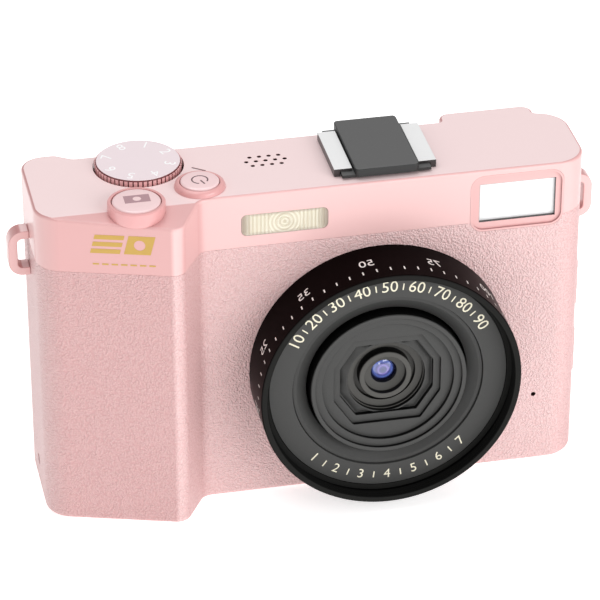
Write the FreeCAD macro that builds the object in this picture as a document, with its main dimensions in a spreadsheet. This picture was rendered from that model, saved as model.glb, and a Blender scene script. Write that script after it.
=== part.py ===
import FreeCAD, Part

import math
import os
import re

import Sketcher
from FreeCAD import Placement, Rotation, Vector

# Compact digital camera, millimetres.
# Frame: the origin is the middle of the tripod socket's mouth in the base, +Z is up,
# the lens looks along -Y and its axis lies straight above the origin.

SIZES = {
    # body
    "left_side": 70.5, "right_side": 43.85, "half_depth": 11.25, "body_height": 72,
    "band_bottom": 60, "shell_split": 5, "seam": 0.03, "wall": 1.8, "top_wall": 1.5,
    "corner_round": 6.5, "cavity_round": 5, "top_round": 0.6, "base_round": 1.2,
    "grip_corner_y": 11.85, "grip_nose_x": 42.6, "grip_nose_y": 20.3, "grip_foot_x": 37.2,
    "grip_round": 3, "grip_corner_round": 6, "grip_wall": 3.2, "grip_side_wall": 4,
    "facet_crease_y": 12.05, "facet_drop": 1.7, "facet_reach": 10, "facet_wall": 1.9,
    "crease_round": 4, "thumb_back": 13.55, "thumb_inner_x": 63, "thumb_foot_x": 59.5,
    "thumb_round": 2.4, "housing_left": 18, "housing_right": 38, "housing_back": 14.75,
    "housing_round": 2.4, "housing_corner_round": 0.8,
    # working lengths of the cutting tools
    "through": 8, "spare": 1, "far": 20, "part_reach": 60,
    # case screws
    "screw_front": 8.2, "screw_low": 6.5, "screw_high": 51, "screw_head": 1.2,
    "screw_shank": 0.65, "screw_sunk": 0.15, "screw_cone_top": 0.5, "screw_cone_foot": 1,
    "screw_length": 3.2, "screw_play": 0.05,
    # lens
    "lens_height": 29.7, "barrel_length": 12.7, "barrel_radius": 27.45, "thread_radius": 26,
    "barrel_foot": 2.4, "rim_bevel": 0.25, "thread_length": 2.6, "thread_relief": 0.35,
    "spigot_radius": 24.5, "ring_seat_radius": 25.2, "ring_outer": 25.1, "ring_inner": 20.15,
    "ring_depth": 3.55, "ring_thickness": 1.4, "bezel_outer": 20.1, "bezel_edge": 19.33,
    "bezel_inner": 17, "bezel_flange": 22.9, "bezel_depth": 4, "cone_depth": 5.2,
    "bezel_back_depth": 9, "focus_radius": 16.5, "focus_depth": 2.8,
    "focus_step_radius": 15.55, "focus_step_depth": 3.5, "focus_dish_radius": 13.9,
    "focus_dish_depth": 4.4, "focus_length": 11, "outer_window_width": 22.6,
    "outer_window_height": 20.2, "outer_window_cut": 4.1, "outer_window_depth": 5.2,
    "inner_window_width": 19.7, "inner_window_height": 16.7, "inner_window_cut": 3.4,
    "inner_window_depth": 6.3, "window_cut_length": 4, "cell_radius": 8.2,
    "cell_mouth_radius": 8, "cell_mouth_depth": 6.4, "cell_floor_depth": 7.25,
    "cell_groove_radius": 6.56, "cell_groove_depth": 8.4, "cup_radius": 5.6, "cup_depth": 6.15,
    "cup_bore": 4.4, "cup_floor_depth": 7.4, "hole_radius": 2.76, "hole_depth": 7.85,
    "cell_bore": 4.4, "cell_back_depth": 13.2, "glass_seat_depth": 8.95, "glass_radius": 4.3,
    "glass_thickness": 2, "glass_dome_radius": 2.45, "glass_rise": 0.65, "glass_play": 0.05,
    "middle_depth": 11.6, "middle_thickness": 1.6, "middle_rise": 0.5,
    "rear_radius": 6, "rear_depth": 17.5, "rear_thickness": 2.4, "rear_rise": 0.8,
    # sensor group
    "holder_half": 17, "holder_front": 3.3, "holder_back": 1.2, "filter_half_width": 8,
    "filter_half_height": 6.5, "filter_front": 1.3, "filter_back": 1.9,
    "sensor_half_width": 9, "sensor_half_height": 7.5, "sensor_front": 2, "sensor_back": 3,
    "sensor_board_half_width": 14, "sensor_board_half_height": 12, "sensor_board_front": 3.05,
    "sensor_board_back": 4,
    # viewfinder
    "finder_left": 18.85, "finder_right": 38.7, "finder_low": 57.7, "finder_high": 70.8,
    "finder_round": 3, "finder_frame_wall": 0.5, "finder_depth": 0.5, "finder_play": 0.03,
    "window_left": 20.95, "window_right": 36.95, "window_low": 59.8, "window_high": 68.5,
    "pane_depth": 1.2, "pane_lap": 0.55, "pane_play": 0.05, "frame_thickness": 2,
    "tube_wall": 1, "tube_low": 60.6, "tube_back": 2.4, "display_inset": 2,
    "display_front": 3.4, "display_back": 5, "eye_left": 20.5, "eye_right": 35.5,
    "eye_low": 61.8, "eye_high": 69.4, "eye_glass_play": 0.05, "eye_glass_front": 2.4,
    "eye_glass_back": 1, "eyecup_inset": 0.6, "eyecup_low": 60.8, "eyecup_high": 70.6,
    "eyecup_round": 2.2, "eyecup_rise": 1.3, "eyecup_hole_round": 1,
    # fill light
    "light_left": 28.8, "light_right": 10.9, "light_low": 62.6, "light_high": 67.4,
    "light_round": 1.2, "light_thickness": 1.7, "light_play": 0.05,
    # mode dial
    "dial_x": 46.9, "dial_y": 5.6, "dial_radius": 8.9, "dial_well": 9.35, "dial_top": 73.2,
    "dial_base": 68.7, "dial_shaft": 1.5, "dial_shaft_length": 4.5, "dial_well_play": 0.4,
    "dial_edge": 0.2, "dial_bevel": 0.3, "dial_switch_low": 62.2, "dial_switch_radius": 3.3,
    "dial_switch_play": 0.7, "shaft_play": 0.05,
    # shutter button
    "shutter_x": 50.3, "shutter_y": 12.6, "collar_radius": 5.85, "collar_foot_radius": 5.4,
    "collar_top": 74.1, "collar_foot": 3.6, "collar_bore": 2.25, "collar_edge": 0.25,
    "shutter_radius": 5, "shutter_top": 74.3, "shutter_rim": 0.35, "shutter_bevel": 0.4,
    "shutter_dish": 0.08, "shutter_cap": 1.2, "shutter_stem": 1.8, "shutter_travel": 0.9,
    "stem_foot": 65, "button_play": 0.1,
    # power button
    "power_x": 36.2, "power_y": 5.7, "power_collar_radius": 5.3, "power_collar_top": 73.2,
    "power_collar_side": 0.35, "power_collar_slope": 0.3, "power_collar_crown": 0.8,
    "power_radius": 4, "power_top": 73.6, "power_rim": 0.3, "power_bevel": 0.35,
    "power_dome": 0.06, "power_cap": 2, "power_stem": 1.5, "power_foot": 66,
    "power_travel": 0.5, "switch_half": 2.5, "shutter_switch_front": 1.6,
    "shutter_switch_low": 62, "power_switch_low": 63, "mark_corner_x": 36.52,
    "mark_corner_y": 2.28, "mark_length": 3.2, "mark_width": 0.4, "mark_depth": 0.25,
    # loudspeaker and microphone
    "speaker_x": 21.07, "speaker_y": 2.35, "speaker_hole": 0.45, "speaker_pitch": 2,
    "speaker_row": 1.8, "speaker_radius": 5.5, "speaker_depth": 3, "speaker_play": 0.1,
    "mic_x": 33.83, "mic_height": 16.6, "mic_radius": 0.5, "mic_body": 2, "mic_length": 1.5,
    "mic_play": 0.1,
    # accessory shoe
    "shoe_x": 1.76, "shoe_front": 7.55, "shoe_back": 8.75, "shoe_half": 10.65,
    "shoe_slot_half": 9.4, "shoe_mouth_half": 6.9, "shoe_rise": 1.75, "shoe_lip": 0.6,
    "shoe_base": 0.3, "floor_half": 8, "floor_inset": 2, "floor_thickness": 1.4,
    "floor_play": 0.05, "cover_half": 6.6, "cover_front": 9.15, "cover_back": 11.9,
    "cover_rise": 2.4, "cover_cap_low": 0.6, "cover_lap": 0.5, "cover_tail": 1.4,
    "cover_side_play": 0.15, "cover_low_play": 0.08, "cover_high_play": 0.1,
    "cover_round": 0.8, "cover_edge": 0.3,
    # back
    "screen_left": 33, "screen_right": 40, "screen_low": 5.5, "screen_high": 56.5,
    "screen_round": 1.5, "screen_thickness": 1.4, "screen_proud": 0.35, "screen_gap": 0.1,
    "screen_seat": 1.1, "module_front": 4.2, "module_back": 1.9, "module_left": 1,
    "module_right": 3.5, "module_low": 1.5, "module_high": 1,
    "button_column": 47.2, "button_half_spread": 6.5, "button_high": 44.5,
    "button_low": 13.5, "button_radius": 3.2, "button_rise": 0.7, "button_foot": 2.6,
    "button_bevel": 0.3, "button_dome": 0.05, "button_gap": 0.15, "pad_radius": 9.5,
    "pad_hole": 4.6, "pad_height": 29.5, "pad_dish": 1.2, "pad_slope": 0.2, "pad_lip": 0.5,
    "rocker_half": 7, "rocker_low": 50, "rocker_high": 55, "rocker_round": 2.2,
    "rocker_gap": 0.2, "board_left": 66.5, "board_right": 36, "board_front": 6.3,
    "board_back": 7.3, "board_low": 7, "board_high": 57, "notch_left": 45, "notch_high": 9,
    # base
    "socket_radius": 2.55, "socket_length": 5.5, "nut_neck": 6, "nut_flange": 6.9,
    "nut_neck_height": 2.9, "nut_roof": 0.8, "nut_play": 0.05, "door_left": 66.5,
    "door_right": 27.5, "door_front": 6.4, "door_back": 8.4, "door_thickness": 1.6,
    "door_gap": 0.2, "door_roof_gap": 0.3, "knuckle_gap": 0.2, "pin_radius": 0.6,
    "pin_play": 0.05, "pin_end": 1, "latch_front": 3, "latch_back": 5, "latch_far": 6,
    "latch_near": 3.4, "latch_stop": 1.2, "latch_play": 0.1, "latch_low": 0.05,
    "latch_high": 0.85, "latch_roof": 0.9, "battery_left": 66, "battery_right": 38,
    "battery_front": 6.4, "battery_back": 3, "battery_low": 3.2, "battery_high": 44,
    "card_left": 64, "card_right": 40, "card_front": 4.3, "card_back": 5.7, "card_low": 5,
    "card_high": 36, "card_socket_left": 65, "card_socket_front": 3.2,
    "card_socket_back": 4.2, "card_socket_low": 10, "card_socket_high": 38,
    "main_left": 30, "main_right": 39, "main_front": 4.9, "main_back": 6.1, "main_low": 8,
    "main_high": 57,
    # sides
    "lug_height": 57.2, "lug_rise": 10.2, "lug_reach": 4.4, "lug_bar": 1.8, "lug_band": 1.9,
    "lug_middle": 2, "lug_depth": 3.6, "lug_round": 3, "lug_slot_round": 1,
    "port_low": 18, "port_high": 46, "port_front": 6.5, "port_back": 3.6,
    "port_thickness": 1.3, "port_seat": 1.4, "port_gap": 0.15, "port_round": 1.2,
    "thumb_notch_depth": 0.4, "thumb_notch_width": 0.8, "thumb_notch_inset": 11,
    "usb_low": 21, "usb_high": 30.4, "video_low": 34.6, "video_high": 41.6,
    "port_mouth_front": 3.2, "port_mouth_back": 0.4, "socket_play": 0.05,
    "socket_wall": 0.6, "usb_depth": 9.5, "video_depth": 8.5, "mouth_depth": 6,
}

doc = FreeCAD.newDocument("compact_camera")
sheet = doc.addObject("Spreadsheet::Sheet", "sizes")
for row, (alias, size) in enumerate(SIZES.items(), start=1):
    sheet.set("A%d" % row, alias)
    sheet.set("B%d" % row, str(size))
    sheet.setAlias("B%d" % row, alias)
doc.recompute()

ALIAS = re.compile(r"\b(" + "|".join(sorted(SIZES, key=len, reverse=True)) + r")\b")
UP = Rotation()
FORWARD = Rotation(Vector(1, 0, 0), 90)
BACK = Rotation(Vector(1, 0, 0), -90)
DOWN = Rotation(Vector(1, 0, 0), 180)
RIGHT = Rotation(Vector(1, 1, 1), 120)
LEFT = Rotation(Vector(0, 1, 0), -90)
NODES = []


# --- helpers -------------------------------------------------------------------------

def linked(text):
    """An expression in which every bare size name points at the sheet."""
    return ALIAS.sub(lambda found: "sizes." + found.group(0), str(text))


def bind(item, prop, text):
    item.setExpression(prop, linked(text))


def number(text):
    """The present value of an expression."""
    found = sheet.evalExpression(str(text))
    return float(getattr(found, "Value", found))


def place(item, base, rotation=UP):
    item.Placement = Placement(Vector(*[number(text) for text in base]), rotation)
    for axis, text in zip("xyz", base):
        bind(item, "Placement.Base." + axis, text)


def box(name, low, high):
    """A block between two corners."""
    item = doc.addObject("Part::Box", name)
    for prop, start, end in zip(("Length", "Width", "Height"), low, high):
        bind(item, prop, "(%s) - (%s)" % (end, start))
    place(item, low)
    return item


def rod(name, radius, length, base, rotation=UP):
    item = doc.addObject("Part::Cylinder", name)
    bind(item, "Radius", radius)
    bind(item, "Height", length)
    place(item, base, rotation)
    return item


def cut(name, base, *tools):
    item = doc.addObject("Part::Cut", name)
    item.Base = base
    item.Tool = tools[0] if len(tools) == 1 else fuse(name + "_tools", *tools)
    return item


def fuse(name, *shapes):
    item = doc.addObject("Part::MultiFuse", name)
    item.Shapes = list(shapes)
    return item


def common(name, *shapes):
    item = doc.addObject("Part::MultiCommon", name)
    item.Shapes = list(shapes)
    return item


def sketch_outline(body, plane, points):
    """A closed outline of straight sides whose corners are bound to the sheet."""
    sketch = body.newObject("Sketcher::SketchObject", body.Name + "_outline")
    origin = [f for f in body.Origin.OriginFeatures if f.Role == plane][0]
    sketch.AttachmentSupport = (origin, [""])
    sketch.MapMode = "FlatFace"
    spots = [Vector(number(point[0]), number(point[1]), 0) for point in points]
    count = len(spots)
    for i in range(count):
        sketch.addGeometry(Part.LineSegment(spots[i], spots[(i + 1) % count]))
    for i in range(count):
        sketch.addConstraint(Sketcher.Constraint("Coincident", i, 2, (i + 1) % count, 1))
    for i, point in enumerate(points):
        across = Sketcher.Constraint("DistanceX", -1, 1, i, 1, spots[i].x)
        along = Sketcher.Constraint("DistanceY", -1, 1, i, 1, spots[i].y)
        for constraint, text in ((across, point[0]), (along, point[1])):
            index = sketch.addConstraint(constraint)
            bind(sketch, "Constraints[%d]" % index, text)
    return sketch


def corner_edges(feature, spots):
    """Names of the straight edges that stand on the given outline corners."""
    names = []
    for index, edge in enumerate(feature.Shape.Edges, start=1):
        ends = [vertex.Point for vertex in edge.Vertexes]
        if len(ends) == 2 and abs(ends[0].z - ends[1].z) > 1e-3:
            if any(all(math.hypot(e.x - s.x, e.y - s.y) < 1e-4 for e in ends) for s in spots):
                names.append("Edge%d" % index)
    return names


def round_edges(body, feature, names, radius):
    fillet = body.newObject("PartDesign::Fillet", body.Name + "_round")
    fillet.Base = (feature, names)
    bind(fillet, "Radius", radius)
    doc.recompute()
    return fillet


def plate(name, points, thickness, base, rotation=UP, rim=None, rim_low=None):
    """A padded outline; a third entry in a point rounds that corner.

    rim and rim_low round the far face's edges and the near face's edges."""
    body = doc.addObject("PartDesign::Body", name)
    sketch = sketch_outline(body, "XY_Plane", points)
    pad = body.newObject("PartDesign::Pad", name + "_pad")
    pad.Profile = sketch
    bind(pad, "Length", thickness)
    doc.recompute()
    feature = pad
    rounds = {}
    for point in points:
        if len(point) == 3:
            spot = Vector(number(point[0]), number(point[1]), 0)
            rounds.setdefault(point[2], []).append(spot)
    for radius, spots in rounds.items():
        feature = round_edges(body, feature, corner_edges(feature, spots), radius)
    for radius, level in ((rim, number(thickness)), (rim_low, 0)):
        if radius:
            names = ["Edge%d" % index for index, edge in enumerate(feature.Shape.Edges, start=1)
                     if abs(edge.BoundBox.ZMin - level) + abs(edge.BoundBox.ZMax - level) < 1e-3]
            feature = round_edges(body, feature, names, radius)
    place(body, base, rotation)
    return body


def rectangle(left, low, right, high, radius=None):
    corners = [(left, low), (right, low), (right, high), (left, high)]
    return [corner + (radius,) for corner in corners] if radius else corners


def turned(name, points, base, rotation=UP):
    """A profile of (radius, height) points turned about the piece's own Z."""
    body = doc.addObject("PartDesign::Body", name)
    sketch = sketch_outline(body, "XZ_Plane", points)
    turn = body.newObject("PartDesign::Revolution", name + "_turn")
    turn.Profile = sketch
    turn.ReferenceAxis = (sketch, ["V_Axis"])
    turn.Angle = 360
    place(body, base, rotation)
    return body


def keep(item):
    """Marks a finished piece: its name is its file's name."""
    item.Label = item.Name
    NODES.append(item)
    return item


# --- body shells ---------------------------------------------------------------------

def body_blank():
    """The camera body's outside: plan outline, housing for the eyepiece, sloped grip top."""
    outline = [
        ("-left_side", "thumb_back", "thumb_round * 2"),
        ("-left_side", "-grip_corner_y", "grip_corner_round"),
        ("-grip_nose_x", "-grip_nose_y", "grip_round"),
        ("-grip_foot_x", "-half_depth", "grip_round"),
        ("right_side", "-half_depth", "corner_round"),
        ("right_side", "half_depth", "corner_round"),
        ("-thumb_foot_x", "half_depth", "thumb_round"),
        ("-thumb_inner_x", "thumb_back", "thumb_round"),
    ]
    block = plate("body_block", outline, "body_height", ("0", "0", "0"), rim_low="base_round")
    housing = plate("eyepiece_housing",
                    [("housing_left", "half_depth - 3"), ("housing_right", "half_depth - 3"),
                     ("housing_right", "housing_back", "housing_round"),
                     ("housing_left", "housing_back", "housing_round")],
                    "body_height - band_bottom", ("0", "0", "band_bottom"))
    joined = fuse("body_joined", block, housing)
    wedge = plate("facet_wedge",
                  [("-facet_crease_y", "body_height"),
                   ("-facet_crease_y - facet_reach", "body_height - facet_drop"),
                   ("-facet_crease_y - facet_reach", "body_height + 3"),
                   ("-facet_crease_y", "body_height + 3")],
                  "left_side", ("-left_side - 5", "0", "0"), RIGHT)
    sloped = cut("body_sloped", joined, wedge)
    doc.recompute()
    return rounded_top(sloped), wedge


def softened(name, base, radius, wanted):
    """Rounds every edge of a shape that the test wants."""
    fillet = doc.addObject("Part::Fillet", name)
    fillet.Base = base
    size = number(radius)
    fillet.Edges = [(index, size, size) for index, edge in enumerate(base.Shape.Edges, start=1)
                    if wanted(edge)]
    doc.recompute()
    return fillet


def faces_up(shape, edge):
    """How many of the two faces at an edge look upwards."""
    count = 0
    for face in shape.ancestorsOfType(edge, Part.Face):
        u_low, u_high, v_low, v_high = face.ParameterRange
        if face.normalAt((u_low + u_high) / 2, (v_low + v_high) / 2).z > 0.9:
            count += 1
    return count


def rounded_top(sloped):
    """Rounds the crease above the grip, the housing's inner corners, then the top's outer edges."""
    crease = -number("facet_crease_y")
    top = number("body_height")
    housing = [number("housing_left"), number("housing_right")]

    def is_crease(edge):
        bounds = edge.BoundBox
        return abs(bounds.YMin - crease) + abs(bounds.YMax - crease) + abs(bounds.ZMin - top) < 0.03

    def is_inner_corner(edge):
        bounds = edge.BoundBox
        upright = bounds.ZMin > number("band_bottom") - 1 and bounds.ZLength > 5
        beside = any(abs(bounds.Center.x - x) < 0.02 for x in housing)
        return upright and beside and abs(bounds.Center.y - number("half_depth")) < 0.1

    creased = softened("body_creased", sloped, "crease_round", is_crease)
    cornered = softened("body_cornered", creased, "housing_corner_round", is_inner_corner)
    lowest = top - number("facet_drop") - 0.1
    return softened("body_rounded", cornered, "top_round",
                    lambda edge: edge.BoundBox.ZMin > lowest and faces_up(cornered.Shape, edge) == 1)


def body_cavity():
    main = plate("main_cavity",
                 rectangle("-left_side + wall", "-half_depth + wall", "right_side - wall",
                           "half_depth - wall", "cavity_round"),
                 "body_height - top_wall - wall", ("0", "0", "wall"))
    grip = plate("grip_cavity",
                 [("-left_side + grip_side_wall", "-half_depth + wall + spare"),
                  ("-left_side + grip_side_wall", "-half_depth + wall - 0.6"),
                  ("-grip_nose_x - 1.2", "-grip_nose_y + grip_wall"),
                  ("-grip_foot_x - 2.6", "-half_depth"),
                  ("-grip_foot_x - 2.6", "-half_depth + wall + spare")],
                 "body_height - facet_drop - facet_wall - wall", ("0", "0", "wall"))
    return fuse("body_cavity", main, grip)


def slab(name, low_y, high_y, low_z, high_z):
    """A block as wide as the body and more, used to part the shells."""
    return box(name, ("-left_side - 10", low_y, low_z), ("right_side + 10", high_y, high_z))


def lens_hole():
    return rod("lens_hole", "spigot_radius + glass_play", "far",
               ("0", "0", "lens_height"), FORWARD)


def finder_hole():
    return plate("finder_hole",
                 rectangle("finder_left", "finder_low", "finder_right", "finder_high",
                           "finder_round"),
                 "10", ("0", "-half_depth + 5", "0"), FORWARD)


def build_shells():
    """Front shell, rear shell and top cover, parted along two fine seams."""
    blank, wedge = body_blank()
    cavity = body_cavity()
    finder = finder_hole()
    low_top = "band_bottom - seam"
    mic_port = rod("mic_port", "mic_radius", "wall * 2",
                   ("mic_x", "-half_depth + wall + 0.5", "mic_height"), FORWARD)
    base_gaps = [
        box("door_opening", ("-door_left - door_gap", "-door_front - door_gap", "-spare"),
            ("-door_right + door_gap", "door_back + door_gap", "door_thickness + door_roof_gap")),
        rod("tripod_hole", "nut_neck + nut_play", "nut_neck_height + spare + 0.1",
            ("0", "0", "-spare")),
        rod("pin_hole", "pin_radius + pin_play", "door_front + door_back + 2 * pin_end + 0.2",
            ("-door_left + door_thickness / 2", "-door_front - pin_end - 0.1",
             "door_thickness / 2"), BACK),
        *screws("screw_seat", screw_profile("screw_play")),
    ]
    front_half = common("front_half", blank,
                        slab("front_zone", "-part_reach", "shell_split - seam", "-spare", low_top))
    keep(cut("front_shell", front_half, cavity, lens_hole(), finder, mic_port, *base_gaps,
             *side_holes()))
    rear_half = common("rear_half", blank,
                       slab("rear_zone", "shell_split + seam", "part_reach", "-spare", low_top))
    keep(cut("rear_shell", rear_half, cavity, *base_gaps, *rear_holes()))
    band = common("band", blank, slab("band_zone", "-part_reach", "part_reach",
                                      "band_bottom + seam", "body_height + far"))
    keep(cut("top_cover", band, cavity, finder, *top_holes()))
    return wedge


# Where each case screw enters, and the way its shank runs.
SCREWS = [
    (("-20", "-screw_front", "0"), UP), (("-22", "screw_front", "0"), UP),
    (("25", "-screw_front", "0"), UP), (("36", "screw_front", "0"), UP),
    (("-left_side", "1", "screw_low"), RIGHT), (("right_side", "1", "screw_low"), LEFT),
    (("right_side", "1", "screw_high"), LEFT),
]


def screw_profile(play):
    """Half outline of a case screw; play makes it the seat the screw lies in."""
    head = "screw_head + " + play
    shank = "screw_shank + " + play
    top = "-0.5" if play != "0" else "screw_sunk"
    return [("0", top), (head, top), (head, "screw_cone_top + " + play),
            (shank, "screw_cone_foot + " + play), (shank, "screw_length + 2 * " + play),
            ("0", "screw_length + 2 * " + play)]


def screws(name, profile):
    """One turned piece at each case screw: the screw itself or its seat."""
    return [turned("%s_%d" % (name, index), profile, spot, way)
            for index, (spot, way) in enumerate(SCREWS, start=1)]


def side_holes():
    """The port recess and the two sockets' openings in the right-hand wall."""
    holes = [box("port_recess",
                 ("right_side - port_seat", "-port_front - port_gap", "port_low - port_gap"),
                 ("right_side + spare", "port_back + port_gap", "port_high + port_gap"))]
    for name in ("usb", "video"):
        holes.append(box(name + "_hole",
                         ("right_side - wall - spare", "-port_mouth_front", name + "_low"),
                         ("right_side", "port_mouth_back", name + "_high")))
    return holes


ROUND_BUTTONS = [
    ("menu_button", "-button_column - button_half_spread", "button_high"),
    ("focus_button", "-button_column + button_half_spread", "button_high"),
    ("play_button", "-button_column - button_half_spread", "button_low"),
    ("delete_button", "-button_column + button_half_spread", "button_low"),
]


def rear_holes():
    """Openings of the back: screen, buttons, direction pad and zoom rocker."""
    start = "half_depth - through / 2"
    holes = [box("screen_recess",
                 ("-screen_left - screen_gap", "half_depth - screen_seat",
                  "screen_low - screen_gap"),
                 ("screen_right + screen_gap", "half_depth + through", "screen_high + screen_gap")),
             rod("pad_opening", "pad_radius + button_gap", "through",
                 ("-button_column", start, "pad_height"), BACK)]
    for name, x, z in ROUND_BUTTONS:
        holes.append(rod(name + "_opening", "button_radius + button_gap", "through",
                         (x, start, z), BACK))
    holes.append(box("rocker_opening",
                     ("-button_column - rocker_half - rocker_gap", start, "rocker_low - rocker_gap"),
                     ("-button_column + rocker_half + rocker_gap", "half_depth + through / 2",
                      "rocker_high + rocker_gap")))
    return holes


MARK_TURN = Rotation(Vector(0, 0, 1), -37)


def top_holes():
    """Openings of the top cover: dial well, buttons, shoe, loudspeaker, light, eyepiece."""
    low = "band_bottom + 4"
    mark = box("index_mark", ("0", "0", "0"), ("mark_length", "mark_width", "mark_depth + spare"))
    place(mark, ("-mark_corner_x", "mark_corner_y", "body_height - mark_depth"), MARK_TURN)
    holes = [rod("dial_well_hole", "dial_well", "through",
                 ("-dial_x", "dial_y", "dial_base - dial_well_play")),
             rod("shutter_hole", "shutter_stem + 0.5", "body_height - band_bottom",
                 ("-shutter_x", "-shutter_y", low)),
             rod("power_hole", "power_radius + button_play", "body_height - band_bottom",
                 ("-power_x", "-power_y", low)),
             box("shoe_hole",
                 ("shoe_x - floor_half - floor_play", "-shoe_front + floor_inset - floor_play",
                  "body_height - through / 2"),
                 ("shoe_x + floor_half + floor_play", "shoe_back - floor_inset + floor_play",
                  "body_height + spare")),
             box("eye_hole", ("eye_left", "half_depth - through / 2", "eye_low"),
                 ("eye_right", "housing_back + spare", "eye_high")),
             plate("light_hole",
                   rectangle("-light_left - light_play", "light_low - light_play",
                             "-light_right + light_play", "light_high + light_play",
                             "light_round"),
                   "through", ("0", "-half_depth + through / 2", "0"), FORWARD),
             mark]
    for index, (x, y) in enumerate(speaker_spots()):
        holes.append(rod("speaker_hole_%d" % index, "speaker_hole", "through",
                         (x, y, "body_height - through / 2")))
    return holes


def speaker_spots():
    """Three staggered rows of loudspeaker holes: four, five and four."""
    spots = []
    for step, count in ((1, 4), (0, 5), (-1, 4)):
        for column in range(count):
            spots.append(("-speaker_x + %g * speaker_pitch" % (column - (count - 1) / 2),
                          "speaker_y + %g * speaker_row" % step))
    return spots


# --- lens ----------------------------------------------------------------------------

LENS_BASE = ("0", "-half_depth", "lens_height")


def ahead(depth):
    """Height above the body's front face of a point at a depth behind the lens rim."""
    return "barrel_length - (%s)" % depth


def build_lens():
    keep(turned("lens_barrel", [
        ("thread_radius", ahead("0")), ("barrel_radius - rim_bevel", ahead("0")),
        ("barrel_radius", ahead("rim_bevel")), ("barrel_radius", "0"), ("spigot_radius", "0"),
        ("spigot_radius", "-barrel_foot"), ("bezel_flange + 0.1", "-barrel_foot"),
        ("bezel_flange + 0.1", ahead("ring_depth + ring_thickness")),
        ("ring_seat_radius", ahead("ring_depth + ring_thickness")),
        ("ring_seat_radius", ahead("ring_depth")),
        ("thread_radius + thread_relief", ahead("ring_depth")),
        ("thread_radius + thread_relief", ahead("thread_length")),
        ("thread_radius", ahead("thread_length")),
    ], LENS_BASE, FORWARD))
    keep(turned("scale_ring", [
        ("ring_inner", ahead("ring_depth + ring_thickness")),
        ("ring_outer", ahead("ring_depth + ring_thickness")),
        ("ring_outer", ahead("ring_depth")), ("ring_inner", ahead("ring_depth")),
    ], LENS_BASE, FORWARD))
    keep(turned("bezel_ring", [
        ("bezel_inner", ahead("bezel_back_depth")), ("bezel_inner", ahead("cone_depth")),
        ("bezel_edge", ahead("bezel_depth")), ("bezel_outer", ahead("bezel_depth")),
        ("bezel_outer", ahead("ring_depth + ring_thickness")),
        ("bezel_flange", ahead("ring_depth + ring_thickness")), ("bezel_flange", ahead("bezel_back_depth")),
    ], LENS_BASE, FORWARD))
    build_focus_barrel()
    build_glass()


def octagon(width, height, corner):
    """A rectangle about the lens axis with its four corners cut off."""
    half = "(%s) / 2" % width
    tall = "(%s) / 2" % height
    across = "%s - (%s)" % (half, corner)
    side = "%s - (%s) * 1.5" % (tall, corner)
    return [("-(%s)" % across, "-(%s)" % tall), (across, "-(%s)" % tall),
            (half, "-(%s)" % side), (half, side), (across, tall),
            ("-(%s)" % across, tall), ("-(%s)" % half, side), ("-(%s)" % half, "-(%s)" % side)]


def build_focus_barrel():
    blank = turned("focus_blank", [
        ("cell_radius", ahead("focus_dish_depth")), ("focus_dish_radius", ahead("focus_dish_depth")),
        ("focus_dish_radius", ahead("focus_step_depth")),
        ("focus_step_radius", ahead("focus_step_depth")), ("focus_step_radius", ahead("focus_depth")),
        ("focus_radius", ahead("focus_depth")), ("focus_radius", ahead("focus_depth + focus_length")),
        ("cell_radius", ahead("focus_depth + focus_length")),
    ], LENS_BASE, FORWARD)
    outer = plate("outer_window",
                  octagon("outer_window_width", "outer_window_height", "outer_window_cut"),
                  "window_cut_length",
                  ("0", "-half_depth - (%s)" % ahead("outer_window_depth"), "lens_height"), FORWARD)
    inner = plate("inner_window",
                  octagon("inner_window_width", "inner_window_height", "inner_window_cut"),
                  "window_cut_length",
                  ("0", "-half_depth - (%s)" % ahead("inner_window_depth"), "lens_height"), FORWARD)
    keep(cut("focus_barrel", blank, outer, inner))
    keep(turned("lens_cell", [
        ("cell_bore", ahead("cell_back_depth")), ("cell_bore", ahead("glass_seat_depth")),
        ("hole_radius", ahead("glass_seat_depth")), ("hole_radius", ahead("hole_depth")),
        ("cup_bore", ahead("cup_floor_depth")), ("cup_bore", ahead("cup_depth")),
        ("cup_radius", ahead("cup_depth")), ("cup_radius", ahead("cell_groove_depth")),
        ("cell_groove_radius", ahead("cell_groove_depth")),
        ("cell_groove_radius", ahead("cell_floor_depth")),
        ("cell_mouth_radius", ahead("cell_floor_depth")),
        ("cell_mouth_radius", ahead("cell_mouth_depth")),
        ("cell_radius", ahead("cell_mouth_depth")), ("cell_radius", ahead("cell_back_depth")),
    ], LENS_BASE, FORWARD))


def dome(name, radius, depth, thickness, rise, flange=None):
    """A round glass element, flat behind and domed in front; a flange widens its foot."""
    height = number(rise)
    reach = number(radius)
    steps = 6
    sphere = (reach ** 2 + height ** 2) / (2 * height)
    foot = flange or radius
    points = [("0", ahead("%s + %s" % (depth, thickness))),
              (foot, ahead("%s + %s" % (depth, thickness))), (foot, ahead(depth))]
    if flange:
        points.append((radius, ahead(depth)))
    for step in range(1, steps):
        out = reach * (1 - step / steps)
        lift = math.sqrt(sphere ** 2 - out ** 2) - (sphere - height)
        points.append(("(%s) * %g" % (radius, 1 - step / steps),
                       "%s + (%s) * %g" % (ahead(depth), rise, lift / height)))
    points.append(("0", "%s + (%s)" % (ahead(depth), rise)))
    return turned(name, points, LENS_BASE, FORWARD)


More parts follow.
